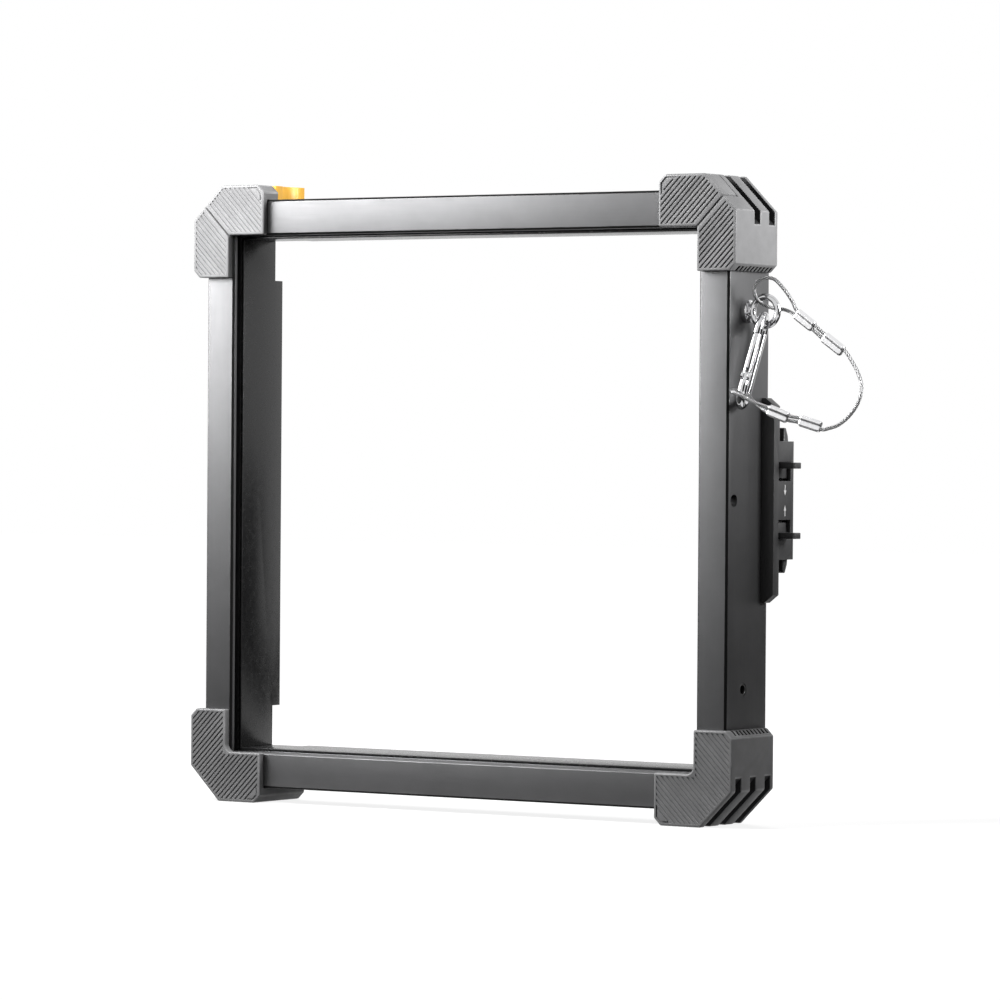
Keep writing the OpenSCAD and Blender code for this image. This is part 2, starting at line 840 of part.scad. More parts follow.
module release_spring() {
  seat = release_out - release_bore + spring_seat;
  color("#c0c0c0") left_side() translate([seat, stem_y, (rail_z + slip + half_h) / 2]) rotate([0, 90, 0])
    coil(release_spring_d, release_spring_wire, bay_x - spring_seat - seat, release_spring_turns);
}

// Squeeze latch, drawn on the right

module flange_outline() {
  polygon([[rail_x, -latch_half_h], [latch_x - flange_slope_x, -latch_half_h],
    [latch_x, flange_slope_z - latch_half_h], [latch_x, latch_half_h - flange_slope_z],
    [latch_x - flange_slope_x, latch_half_h], [rail_x, latch_half_h]]);
}

// One half of the housing's inside, with the window for the prong
module housing_room() {
  inside = latch_x - housing_face;
  box([cover_x - cut, housing_wall, mid_wall],
    [inside, housing_reach - housing_wall, housing_half_h - housing_wall]);
  box([bolt_in_x - bolt_room, nose_front - bolt_play, mid_wall],
    [inside, bolt_rear + bolt_play, housing_half_h + cut]);
  box([inside - cut, window_front, prong_z - bolt_travel - prong_room],
    [latch_x + cut, window_rear, prong_z + prong_t + prong_room]);
}

module latch_housing() {
  ear_top = housing_half_h + ear_h;
  difference() {
    union() {
      prism(flange_front, flange_rear) flange_outline();
      box([cover_x + cover_t, flange_rear - slip, -housing_half_h], [latch_x, housing_reach, housing_half_h]);
      box([cover_x, flange_rear - slip, -ear_top], [cover_x + cover_t, housing_wall, ear_top]);
      for (z = [-ear_top, housing_half_h + slip])
        box([cover_x, flange_rear - slip, z], [cover_x + cover_t, nose_front - ear_gap, z + ear_h - slip]);
    }
    housing_room();
    low_half() housing_room();
    for (z = [-latch_screw_z, latch_screw_z])
      rod_x([rail_x - cut, latch_screw_y, z], latch_screw_r, cut + latch_screw_bite + slip);
    for (y = cover_screw_y) rod_x([cover_x, y, 0], cover_screw_r, cover_t + cover_screw_bite);
  }
}

module latch_cover() {
  difference() {
    box([cover_x, housing_wall + slip, slip - housing_half_h],
      [cover_x + cover_t, housing_reach, housing_half_h - slip]);
    for (y = cover_screw_y) {
      rod_x([cover_x - cut, y, 0], cover_screw_r + screw_room, cover_t + 2 * cut);
      rod_x([cover_x - cut, y, 0], cover_head_r + screw_room, cover_head_h + cut);
    }
  }
}

module bolt_outline() {
  top = housing_half_h + nose_reach;
  shoulder = housing_half_h - housing_wall - bolt_travel;
  polygon([[bolt_front, bolt_in_z], [bolt_rear, bolt_in_z], [bolt_rear, housing_half_h],
    [nose_slope_y, top - nose_slope_z], [nose_tip_y, top], [nose_front, top],
    [nose_front, shoulder], [bolt_front, shoulder]]);
}

// Bolt with a pocket for its spring, closed towards the window
module latch_bolt() {
  difference() {
    slab(bolt_in_x, bolt_out_x) bolt_outline();
    box([bolt_in_x - cut, spring_y - spring_notch_w / 2, bolt_in_z - cut],
      [bolt_out_x - bolt_web, spring_y + spring_notch_w / 2, spring_notch_z]);
  }
  difference() {
    box([bolt_out_x - prong_root, prong_y, prong_z],
      [latch_x + prong_out, prong_y + prong_depth, prong_z + prong_t]);
    for (y = [prong_y, prong_y + prong_depth]) translate([latch_x + prong_out, y, prong_z - cut])
      linear_extrude(prong_t + 2 * cut) rotate(45) square(2 * prong_bevel, center = true);
  }
}

module latch_spring() {
  translate([(bolt_in_x + bolt_out_x - bolt_web) / 2, spring_y, mid_wall + spring_seat])
    coil(latch_spring_d, latch_spring_wire, spring_notch_z - mid_wall - 2 * spring_seat, latch_spring_turns);
}

module latch_screws() {
  for (z = [-latch_screw_z, latch_screw_z]) {
    rod_x([rail_x - rail_wall - latch_head_h, latch_screw_y, z], latch_head_r, latch_head_h);
    rod_x([rail_x - rail_wall, latch_screw_y, z], latch_screw_r, rail_wall + latch_screw_bite);
  }
  for (y = cover_screw_y) {
    rod_x([cover_x, y, 0], cover_head_r, cover_head_h);
    rod_x([cover_x, y, 0], cover_screw_r, cover_t + cover_screw_bite - slip);
  }
}

module right_latch_housing() {
  color("#1c1c1c") latch_housing();
}
module right_latch_cover() {
  color("#303030") latch_cover();
}
module right_upper_bolt() {
  color("#242424") latch_bolt();
}
module right_lower_bolt() {
  color("#242424") low_half() latch_bolt();
}
module right_upper_spring() {
  color("#c0c0c0") latch_spring();
}
module right_lower_spring() {
  color("#c0c0c0") low_half() latch_spring();
}
module right_latch_screws() {
  color("#8a8a8a") latch_screws();
}
module left_latch_housing() {
  color("#1c1c1c") left_side() latch_housing();
}
module left_latch_cover() {
  color("#303030") left_side() latch_cover();
}
module left_upper_bolt() {
  color("#242424") left_side() latch_bolt();
}
module left_lower_bolt() {
  color("#242424") left_side() low_half() latch_bolt();
}
module left_upper_spring() {
  color("#c0c0c0") left_side() latch_spring();
}
module left_lower_spring() {
  color("#c0c0c0") left_side() low_half() latch_spring();
}
module left_latch_screws() {
  color("#8a8a8a") left_side() latch_screws();
}

// Tether

module threaded_inserts() {
  length = insert_len + rail_wall - slip;
  color("#9a9a9a") for (z = [-eye_z, eye_z]) difference() {
    union() {
      rod_x([insert_x, eye_y, z], insert_r, insert_len);
      rod_x([insert_x, eye_y, z], insert_neck_r, length);
    }
    rod_x([insert_x - cut, eye_y, z], tap_d / 2, length + 2 * cut);
  }
}

module eye_bolt() {
  color("#d8d8d8") union() {
    rod_x([insert_x, eye_y, eye_z], tap_d / 2 - shank_clear, rail_x - insert_x + cut);
    rod_x([rail_x, eye_y, eye_z], eye_collar_r, eye_collar_h);
    rod_x([rail_x, eye_y, eye_z], eye_neck_r, eye_x - eye_d / 2 - rail_x);
    translate(eye) rotate([90, 0, 0])
      rotate_extrude() translate([eye_d / 2, 0]) circle(d = eye_wire);
  }
}

// The snap hook hangs on the eye's wire: its own +Y is the spine's side and its long axis runs down
module hung() {
  translate(hang) rotate([hook_lean_x, hook_lean_y, 0]) rotate([0, 0, hook_turn])
    translate([0, 0, (eye_wire + hook_wire) / 2 + hook_clear - hook_r]) children();
}

module hook_body() {
  color("#e0e0e0") hung() {
    difference() {
      union() {
        hook_arch();
        translate([0, hook_r, -hook_run]) cylinder(d = hook_wire, h = hook_run);
        translate([0, -hook_r, -hook_nose]) cylinder(d = hook_wire, h = hook_nose);
        translate([0, 0, -hook_run]) low_half() hook_arch();
        translate([0, -hook_r, -hook_run]) cylinder(d = hook_wire, h = hook_run - hook_pivot - hook_shoulder);
        translate([-hook_tongue_t / 2, -hook_r - hook_tongue_w / 2, -hook_run + hook_tongue_root])
          cube([hook_tongue_t, hook_tongue_w, hook_pivot_up + hook_tongue_top]);
      }
      rod_x([-hook_wire, -hook_r, -hook_pivot], hook_rivet_r, 2 * hook_wire);
    }
  }
}

// Half ring in the hook's own plane, standing on its two legs
module hook_arch() {
  rotate([90, 0, 90]) rotate_extrude(angle = 180) translate([hook_r, 0]) circle(d = hook_wire);
}

module hook_gate() {
  color("#d0d0d0") hung() difference() {
    union() {
      rod_z([0, -hook_r, -hook_pivot], hook_gate_r, hook_pivot - hook_nose - hook_gate_gap);
      rod_x([-hook_gate_r, -hook_r, -hook_pivot], hook_gate_r, 2 * hook_gate_r);
    }
    translate([-hook_tongue_t / 2 - hook_tongue_clear, -hook_r - hook_wire, -hook_pivot - hook_wire])
      cube([hook_tongue_t + 2 * hook_tongue_clear, 2 * hook_wire, hook_wire + hook_slit]);
    rod_x([-hook_wire, -hook_r, -hook_pivot], hook_rivet_r + pin_clear, 2 * hook_wire);
  }
}

module hook_rivet() {
  color("#b0b0b0") hung() rod_x([-hook_gate_r, -hook_r, -hook_pivot], hook_rivet_r, 2 * hook_gate_r);
}

module safety_cable() {
  color("#cfcfcf") tube(curve(ROPE, rope_steps), rope_d / 2, rope_sides, [0, 1, 0]);
}

// Double barrel ferrule crimped over two strands
module ferrule(ends) {
  for (k = [0, 1]) {
    a = ROPE[ends[k]];
    run = ROPE[ends[k + 2]] - a;
    turn = [0, acos(run[2] / norm(run)), atan2(run[1], run[0])];
    translate(a) rotate(turn) cylinder(d = ferrule_d, h = norm(run));
  }
}

module cable_ferrules() {
  color("#e4e4e4") for (ends = FERRULES) ferrule(ends);
}

left_rail();
right_rail();
bottom_rail();
top_beam();
gate_rail();
bottom_left_corner();
bottom_right_corner();
top_left_corner();
top_right_corner();
bottom_left_bumper();
bottom_right_bumper();
top_left_bumper();
top_right_bumper();
gate_left_bumper();
gate_right_bumper();
liner_left();
liner_right();
liner_top();
liner_bottom();
corner_screws();
gate_screws();
gate_hinge_pin();
gate_release();
release_keeper();
release_screw();
release_spring();
right_latch_housing();
right_latch_cover();
right_upper_bolt();
right_lower_bolt();
right_upper_spring();
right_lower_spring();
right_latch_screws();
left_latch_housing();
left_latch_cover();
left_upper_bolt();
left_lower_bolt();
left_upper_spring();
left_lower_spring();
left_latch_screws();
threaded_inserts();
eye_bolt();
hook_body();
hook_gate();
hook_rivet();
safety_cable();
cable_ferrules();
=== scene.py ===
import json
from math import cos, pi, radians, sin, sqrt, tau

import bmesh
import bpy
from mathutils import Matrix, Vector


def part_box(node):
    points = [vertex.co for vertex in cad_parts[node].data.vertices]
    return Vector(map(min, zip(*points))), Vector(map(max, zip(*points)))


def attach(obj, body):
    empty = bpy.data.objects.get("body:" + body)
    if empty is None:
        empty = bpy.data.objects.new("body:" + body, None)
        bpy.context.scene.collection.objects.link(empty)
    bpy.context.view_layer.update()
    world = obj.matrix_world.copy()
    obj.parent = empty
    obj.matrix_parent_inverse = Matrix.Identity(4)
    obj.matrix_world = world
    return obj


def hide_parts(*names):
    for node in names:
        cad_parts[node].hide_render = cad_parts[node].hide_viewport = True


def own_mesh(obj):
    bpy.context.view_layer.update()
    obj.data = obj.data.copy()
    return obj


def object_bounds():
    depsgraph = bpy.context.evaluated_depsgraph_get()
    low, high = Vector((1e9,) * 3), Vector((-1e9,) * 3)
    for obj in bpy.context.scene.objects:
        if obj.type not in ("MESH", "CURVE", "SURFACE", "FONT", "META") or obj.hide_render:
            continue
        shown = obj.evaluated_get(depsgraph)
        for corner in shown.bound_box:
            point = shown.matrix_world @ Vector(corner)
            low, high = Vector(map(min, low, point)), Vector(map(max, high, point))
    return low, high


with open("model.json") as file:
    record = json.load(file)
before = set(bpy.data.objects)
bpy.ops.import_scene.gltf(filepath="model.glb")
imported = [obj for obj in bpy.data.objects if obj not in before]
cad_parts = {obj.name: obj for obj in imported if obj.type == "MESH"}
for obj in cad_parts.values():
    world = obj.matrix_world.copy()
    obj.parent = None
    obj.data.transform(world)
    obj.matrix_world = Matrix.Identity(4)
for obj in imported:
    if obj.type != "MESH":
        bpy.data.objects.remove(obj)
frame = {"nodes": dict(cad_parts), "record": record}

MM = 0.001
cad_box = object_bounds()
bodies = frame["record"]["behaviour"]["bodies"]
body_of_node = {node: body for body, members in bodies.items() for node in members}


# Camera: a long lens, a little right of the front; lens and sensor in millimetres, place in metres

LENS = 185.26
SENSOR = 36
CAMERA_PLACE = (1.5893, -2.3981, 0.0321)
CAMERA_RIGHT = (0.83354, 0.55241, 0.00734)
CAMERA_UP = (-0.01266, 0.00582, 0.99990)
CAMERA_BACK = (0.55231, -0.83355, 0.01184)


def place_camera():
    """Camera at the photograph's viewing angle."""
    data = bpy.data.cameras.new("studio_camera")
    data.sensor_width = SENSOR
    data.lens = LENS
    camera = bpy.data.objects.new("studio_camera", data)
    bpy.context.scene.collection.objects.link(camera)
    turn = Matrix((CAMERA_RIGHT, CAMERA_UP, CAMERA_BACK)).transposed()
    camera.matrix_world = Matrix.Translation(CAMERA_PLACE) @ turn.to_4x4()
    bpy.context.scene.camera = camera


place_camera()


# Tubes along a line, for the wire rope and the springs

FINE_STEPS = 40


def smooth_route(points, step):
    """Points a step apart on a smooth curve through the given ones."""
    ends = [points[0]] + points + [points[-1]]
    fine = []
    for a, b, c, d in zip(ends, ends[1:], ends[2:], ends[3:]):
        for k in range(FINE_STEPS):
            u = k / FINE_STEPS
            bend = 2 * a - 5 * b + 4 * c - d + u * (3 * b - a - 3 * c + d)
            fine.append(b + u / 2 * (c - a + u * bend))
    fine.append(points[-1])
    line, left = [fine[0]], step
    for a, b in zip(fine, fine[1:]):
        run = (b - a).length
        while run >= left:
            a = a + (b - a) * (left / run)
            line.append(a)
            run = (b - a).length
            left = step
        left -= run
    return line + [points[-1]]


def tube(name, line, section, turn_per_metre=0.0):
    """Closed tube along a line, with a section of (radius, angle) pairs that turns as it goes."""
    count = len(section)
    last = len(line) - 1
    tangents = [(line[min(i + 1, last)] - line[max(i - 1, 0)]).normalized() for i in range(last + 1)]
    side = tangents[0].orthogonal().normalized()
    points, faces, places = [], [], []
    run = 0.0
    for i, (middle, tangent) in enumerate(zip(line, tangents)):
        run += (middle - line[i - 1]).length if i else 0.0
        side = (side - tangent * side.dot(tangent)).normalized()
        across = tangent.cross(side)
        for radius, angle in section:
            at = angle + turn_per_metre * run
            points.append(middle + radius * (cos(at) * side + sin(at) * across))
        places.append(run)
    for i in range(last):
        for k in range(count):
            a, b = i * count + k, i * count + (k + 1) % count
            faces.append((a, b, b + count, a + count))
    faces.append(tuple(range(count - 1, -1, -1)))
    faces.append(tuple(range(last * count, last * count + count)))
    mesh = bpy.data.meshes.new(name)
    mesh.from_pydata(points, [], faces)
    layer = mesh.uv_layers.new(name="around")
    for face in mesh.polygons:
        for loop in face.loop_indices:
            vertex = mesh.loops[loop].vertex_index
            round_end = vertex % count == 0 and face.index % count == count - 1
            around = 1.0 if round_end else (vertex % count) / count
            layer.data[loop].uv = (places[vertex // count] / MM, around)
        face.use_smooth = len(face.vertices) == 4
    piece = bpy.data.objects.new(name, mesh)
    bpy.context.scene.collection.objects.link(piece)
    return piece


# Wire rope: six strands laid round a core, through the eye and the hook

EYE_LOW, EYE_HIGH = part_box("eye_bolt")
EYE_REACH = (EYE_HIGH.z - EYE_LOW.z) / 2
EYE = Vector((EYE_HIGH.x - EYE_REACH, (EYE_LOW.y + EYE_HIGH.y) / 2, (EYE_LOW.z + EYE_HIGH.z) / 2))
# Route from the eye's middle, in metres
ROUTE = [
    (0.0479, -0.0015, -0.0227), (0.0369, -0.0015, -0.0151), (0.0299, -0.0015, -0.0096),
    (0.0199, -0.0015, -0.0026), (0.0145, 0.0025, -0.0005), (0.0085, 0.0055, 0.001),
    (0.004, 0.0055, 0.0015), (0.0015, 0.002, 0.0023), (-0.0003, -0.003, 0.004),
    (-0.0015, -0.0075, 0.0075), (-0.0015, -0.0085, 0.0125), (0.0025, -0.0085, 0.017),
    (0.009, -0.0065, 0.017), (0.0145, -0.004, 0.011), (0.018, -0.002, 0.005),
    (0.0211, -0.0015, -0.0004), (0.0311, -0.0015, -0.0074), (0.0381, -0.0015, -0.0129),
    (0.0491, -0.0015, -0.0205), (0.055, -0.0025, -0.027), (0.06, -0.004, -0.034),
    (0.063, -0.006, -0.041), (0.0625, -0.0085, -0.0485), (0.0585, -0.0105, -0.0555),
    (0.053, -0.0125, -0.0605), (0.048, -0.0145, -0.0625), (0.044, -0.016, -0.063),
    (0.032, -0.0175, -0.0595), (0.025, -0.019, -0.0581), (0.014, -0.02, -0.0541),
    (0.0045, -0.0175, -0.049), (-0.0005, -0.0153, -0.0455), (-0.005, -0.015, -0.043),
    (-0.0077, -0.019, -0.0425), (-0.0055, -0.0237, -0.0432), (-0.0005, -0.0239, -0.0452),
    (0.0045, -0.0224, -0.0481), (0.015, -0.02, -0.0519), (0.026, -0.019, -0.0559),
    (0.033, -0.0175, -0.0573), (0.044, -0.016, -0.0607),
]
ROPE = [EYE + Vector(point) for point in ROUTE]
# Each ferrule: indices of the route's points at its two ends, on both strands
FERRULES = [(3, 15, 2, 16), (1, 17, 0, 18), (26, 40, 27, 39), (28, 38, 29, 37)]
ROPE_R = 1 * MM
ROPE_STRANDS = 6
ROPE_LAY = 13 * MM
ROPE_STEP = 0.5 * MM
STRAND_STEPS = 6
# Angle from a strand's middle, in radians, past which the valley to the next strand is filled
STRAND_EDGE = 0.48


def rope_section():
    """Outline of strands that lie side by side round the core."""
    strand = ROPE_R / 3
    count = ROPE_STRANDS * STRAND_STEPS
    outline = []
    for k in range(count):
        off = (k % STRAND_STEPS) / STRAND_STEPS * tau / ROPE_STRANDS - pi / ROPE_STRANDS
        off = min(max(off, -STRAND_EDGE), STRAND_EDGE)
        reach = 2 * strand * cos(off) + sqrt(max(strand ** 2 - (2 * strand * sin(off)) ** 2, 0))
        outline.append((reach, k * tau / count))
    return outline


rope_line = smooth_route(ROPE, ROPE_STEP)
wire_rope = tube("wire_rope", rope_line, rope_section(), tau / ROPE_LAY)
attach(wire_rope, "tether")
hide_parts("safety_cable")


# Finishes: patterns are in metres on Object coordinates, but for the rope's lay on its own map

def new_finish(name, colour, roughness, metallic=0.0):
    """Material with plain values; returns it with its node tree and its shader."""
    material = bpy.data.materials.new(name)
    material.use_nodes = True
    material.diffuse_color = (*colour, 1)
    tree = material.node_tree
    shader = tree.nodes["Principled BSDF"]
    shader.inputs["Base Color"].default_value = (*colour, 1)
    shader.inputs["Roughness"].default_value = roughness
    shader.inputs["Metallic"].default_value = metallic
    return material, tree, shader


def add(tree, kind, **inputs):
    """New node with the values of its inputs; an underscore in a name stands for a space."""
    node = tree.nodes.new(kind)
    for name, value in inputs.items():
        node.inputs[name.replace("_", " ")].default_value = value
    return node


def noise(tree, size, detail, roughness=0.5, stretch=(1, 1, 1)):
    """Noise of a size in metres on Object coordinates, drawn out where the grain runs along an axis."""
    place = add(tree, "ShaderNodeTexCoord")
    mapping = add(tree, "ShaderNodeMapping", Scale=stretch)
    texture = add(tree, "ShaderNodeTexNoise", Scale=1 / size, Detail=detail, Roughness=roughness)
    tree.links.new(place.outputs["Object"], mapping.inputs["Vector"])
    tree.links.new(mapping.outputs["Vector"], texture.inputs["Vector"])
    return texture.outputs["Fac"]


def ramp(tree, source, stops):
    """Colour ramp from (position, grey or colour) stops."""
    node = add(tree, "ShaderNodeValToRGB")
    elements = node.color_ramp.elements
    while len(elements) < len(stops):
        elements.new(0.5)
    for element, (position, value) in zip(elements, stops):
        element.position = position
        element.color = (*value, 1) if isinstance(value, tuple) else (value, value, value, 1)
    tree.links.new(source, node.inputs["Fac"])
    return node.outputs["Color"]


def shade(colour, factor):
    """The same colour, darker or lighter."""
    return tuple(channel * factor for channel in colour)


def tone_drift(tree, shader, colour, spread, size, worn=0.0):
    """Slow drift of the colour either way over the surface; where worn, pale patches instead."""
    if worn:
        stops = [(0.35, colour), (0.5, shade(colour, 1 + worn / 3)), (0.68, shade(colour, 1 + worn))]
    else:
        stops = [(0.3, shade(colour, 1 - spread)), (0.7, shade(colour, 1 + spread))]
    tone = ramp(tree, noise(tree, size, detail=4.0, roughness=0.6), stops)
    tree.links.new(tone, shader.inputs["Base Color"])


def rough_drift(tree, shader, low, high, size, stretch=(1, 1, 1)):
    """Drift of the roughness between two values."""
    source = noise(tree, size, detail=5.0, roughness=0.65, stretch=stretch)
    tree.links.new(ramp(tree, source, [(0.3, low), (0.7, high)]), shader.inputs["Roughness"])


def grain_bump(tree, shader, layers):
    """Bump from layers of (texture output, depth in metres), one on the other."""
    normal = None
    for height, depth in layers:
        bump = add(tree, "ShaderNodeBump", Strength=1.0, Distance=depth)
        tree.links.new(height, bump.inputs["Height"])
        if normal:
            tree.links.new(normal, bump.inputs["Normal"])
        normal = bump.outputs["Normal"]
    tree.links.new(normal, shader.inputs["Normal"])


def moulded_plastic(name, colour, roughness, grain, depth, worn=0.0, shine=0.35):
    """Plastic with the fine spark-eroded grain of its mould and slow waves of shrinkage."""
    material, tree, shader = new_finish(name, colour, roughness)
    shader.inputs["Specular IOR Level"].default_value = shine
    tone_drift(tree, shader, colour, spread=0.07, size=9 * MM, worn=worn)
    rough_drift(tree, shader, roughness - 0.05, roughness + 0.07, size=4 * MM)
    waves = noise(tree, 14 * MM, detail=1.0)
    fine = noise(tree, grain, detail=3.0, roughness=0.55)
    grain_bump(tree, shader, [(waves, 0.03 * MM), (fine, depth)])
    return material


def anodised(name, colour, roughness, run, worn=0.0):
    """Satin anodised extrusion: die lines along the run under a fine etched grain."""
    material, tree, shader = new_finish(name, colour, roughness, 0.9)
    stretch = tuple(0.012 if axis == run else 1 for axis in "xyz")
    tone_drift(tree, shader, colour, spread=0.06, size=25 * MM, worn=worn)
    rough_drift(tree, shader, roughness - 0.05, roughness + 0.06, size=0.35 * MM, stretch=stretch)
    lines = noise(tree, 0.25 * MM, detail=4.0, roughness=0.7, stretch=stretch)
    etched = noise(tree, 0.16 * MM, detail=2.0)
    grain_bump(tree, shader, [(lines, 0.006 * MM), (etched, 0.012 * MM)])
    return material


def plated_steel(name, colour, roughness, scratch):
    """Plated steel with faint scratches from handling."""
    material, tree, shader = new_finish(name, colour, roughness, 1.0)
    tone_drift(tree, shader, colour, spread=0.05, size=3 * MM)
    rough_drift(tree, shader, roughness - 0.03, roughness + 0.06, size=1.2 * MM, stretch=(1, 1, 0.2))
    marks = noise(tree, 0.3 * MM, detail=5.0, stretch=(1, 1, 0.08))
    grain_bump(tree, shader, [(marks, scratch)])
    return material


# A wave texture of scale 1 turns by this many radians over one unit of its map
WAVE_RATE = 20
WIRE_STRETCH = (0.35, 24.0, 1.0)


def strand_steel(name, colour):
    """Drawn wires, and painted shade in the valleys between the strands, both laid on the rope's own map.
    """
    material, tree, shader = new_finish(name, colour, 0.28, 1.0)
    place = add(tree, "ShaderNodeTexCoord")
    mapping = add(tree, "ShaderNodeMapping", Scale=WIRE_STRETCH)
    wires = add(tree, "ShaderNodeTexWave", Scale=1.0, Distortion=0.4, Detail=1.0)
    wires.bands_direction = "DIAGONAL"
    tree.links.new(place.outputs["UV"], mapping.inputs["Vector"])
    tree.links.new(mapping.outputs["Vector"], wires.inputs["Vector"])
    strands = add(tree, "ShaderNodeTexWave", Scale=ROPE_STRANDS * tau / WAVE_RATE)
    strands.bands_direction = "Y"
    tree.links.new(place.outputs["UV"], strands.inputs["Vector"])
    tones = ramp(tree, wires.outputs["Fac"], [(0.1, shade(colour, 0.7)), (0.6, colour)])
    # Painted shade: the colour darkens nearly to black in the valleys between the strands
    painted_valley_shade = ramp(tree, strands.outputs["Fac"], [(0.1, 0.08), (0.6, 1.0)])
    both = add(tree, "ShaderNodeVectorMath")
    both.operation = "MULTIPLY"
    tree.links.new(tones, both.inputs[0])
    tree.links.new(painted_valley_shade, both.inputs[1])
    tree.links.new(both.outputs["Vector"], shader.inputs["Base Color"])
    rough_drift(tree, shader, 0.36, 0.5, size=0.8 * MM)
    grain_bump(tree, shader, [(wires.outputs["Fac"], 0.05 * MM)])
    return material


RAIL_GREY = (0.092, 0.092, 0.094)
BUMPER_GREY = (0.19, 0.19, 0.193)
BLOCK_BLACK = (0.025, 0.025, 0.026)
LINER_BLACK = (0.014, 0.014, 0.0145)
LATCH_BLACK = (0.045, 0.045, 0.046)
BOLT_BLACK = (0.05, 0.05, 0.051)
# Painted shade for the insides of the bumpers' slots and notches
SLOT_SHADE_PAINT = (0.012, 0.012, 0.0125)
# Painted dark reflection for the rails' front edge bevels
RAIL_EDGE_DARK_REFLECTION = (0.008, 0.008, 0.008)
MARK_WHITE = (0.6, 0.6, 0.6)
ORANGE = (0.82, 0.44, 0.051)
ZINC = (0.45, 0.45, 0.43)
DARK_STEEL = (0.14, 0.14, 0.14)
SPRING_STEEL = (0.45, 0.45, 0.45)
BRIGHT_STEEL = (0.62, 0.62, 0.63)
ALUMINIUM = (0.8, 0.8, 0.81)
ROPE_STEEL = (0.5, 0.5, 0.505)
# Name, colour and roughness; then size and depth of a plastic's grain, a rail's run, or depth of scratches
FINISH = {
    "bumper": moulded_plastic("bumper_grey", BUMPER_GREY, 0.5, 0.30 * MM, 0.02 * MM, shine=0.2),
    "corner_block": moulded_plastic("block_black", BLOCK_BLACK, 0.5, 0.30 * MM, 0.02 * MM),
    "liner": moulded_plastic("liner_black", LINER_BLACK, 0.24, 0.45 * MM, 0.004 * MM),
    "latch_body": moulded_plastic("latch_black", LATCH_BLACK, 0.42, 0.25 * MM, 0.015 * MM),
    "latch_bolt": moulded_plastic("bolt_black", BOLT_BLACK, 0.38, 0.25 * MM, 0.012 * MM),
    "release": moulded_plastic("release_orange", ORANGE, 0.36, 0.25 * MM, 0.01 * MM),
    "rail_x": anodised("rail_level", RAIL_GREY, 0.46, "x"),
    "rail_z": anodised("rail_upright", RAIL_GREY, 0.46, "z"),
    "fastener": plated_steel("zinc_plate", ZINC, 0.34, 0.006 * MM),
    "insert": plated_steel("insert_steel", DARK_STEEL, 0.3, 0.006 * MM),
    "spring": plated_steel("spring_wire", SPRING_STEEL, 0.3, 0.004 * MM),
    "bright_steel": plated_steel("bright_plate", BRIGHT_STEEL, 0.09, 0.001 * MM),
    "ferrule": plated_steel("pressed_aluminium", ALUMINIUM, 0.2, 0.004 * MM),
    "rope": strand_steel("rope_wire", ROPE_STEEL),
    "painted_slot_shade": moulded_plastic("painted_slot_shade_black", SLOT_SHADE_PAINT, 0.6, 0.3 * MM, 0.01 * MM, shine=0.2),
    "rail_edge_painted_reflection": moulded_plastic("rail_edge_painted_reflection_black", RAIL_EDGE_DARK_REFLECTION, 0.5, 0.3 * MM, 0.004 * MM, shine=0.05),
    "mark": moulded_plastic("mark_white", MARK_WHITE, 0.5, 0.3 * MM, 0.004 * MM),
}
# The same finishes where handling has rubbed the edges; the last value is how much paler the patches are
WORN = {
    "bumper": moulded_plastic("bumper_edge", BUMPER_GREY, 0.42, 0.30 * MM, 0.006 * MM, 0.35),
    "liner": moulded_plastic("liner_edge", LINER_BLACK, 0.34, 0.45 * MM, 0.01 * MM, 1.2),
    "latch_body": moulded_plastic("latch_edge", LATCH_BLACK, 0.34, 0.25 * MM, 0.005 * MM, 1.2),
    "latch_bolt": moulded_plastic("bolt_edge", BOLT_BLACK, 0.3, 0.25 * MM, 0.004 * MM, 1.2),
    "release": moulded_plastic("release_edge", ORANGE, 0.3, 0.25 * MM, 0.004 * MM, 0.05),
    "rail_x": anodised("rail_level_edge", RAIL_GREY, 0.3, "x", 0.8),
    "rail_z": anodised("rail_upright_edge", RAIL_GREY, 0.3, "z", 0.8),
}


def give(piece, finish):
    """Gives a piece its finish, and the worn one for its edges where there is one."""
    piece.data.materials.clear()
    piece.data.materials.append(FINISH[finish])
    if finish in WORN:
        piece.data.materials.append(WORN[finish])


give(wire_rope, "rope")


# Modelling helpers

def deselect():
    """Leaves edit mode, with nothing selected."""
    if bpy.context.object and bpy.context.object.mode != "OBJECT":
        bpy.ops.object.mode_set(mode="OBJECT")
    bpy.ops.object.select_all(action="DESELECT")


def take(piece):
    """Makes a piece the only selected and active one."""
    deselect()
    piece.select_set(True)
    bpy.context.view_layer.objects.active = piece


def edit(piece):
    """Opens a piece in edit mode and returns its mesh."""
    take(piece)
    bpy.ops.object.mode_set(mode="EDIT")
    return bmesh.from_edit_mesh(piece.data)


def edit_selected(piece, kind, wanted):
    """Opens a piece in edit mode, with only the faces or edges selected for which wanted holds."""
    mesh = edit(piece)
    bpy.ops.mesh.select_mode(type=kind)
    bpy.ops.mesh.select_all(action="DESELECT")
    for element in mesh.faces if kind == "FACE" else mesh.edges:
        if wanted(element):
            element.select_set(True)
    bmesh.update_edit_mesh(piece.data)


def joined_copy(node):
    """Copy of a CAD node's mesh as its own piece, its triangles joined into whole flat faces."""
    piece = bpy.data.objects.new(node + "_piece", frame["nodes"][node].data.copy())
    bpy.context.scene.collection.objects.link(piece)
    edit(piece)
    bpy.ops.mesh.select_all(action="SELECT")
    bpy.ops.mesh.remove_doubles(threshold=0.0005 * MM)
    bpy.ops.mesh.customdata_custom_splitnormals_clear()
    bpy.ops.mesh.dissolve_limited(angle_limit=radians(0.5))
    bpy.ops.object.mode_set(mode="OBJECT")
    return piece


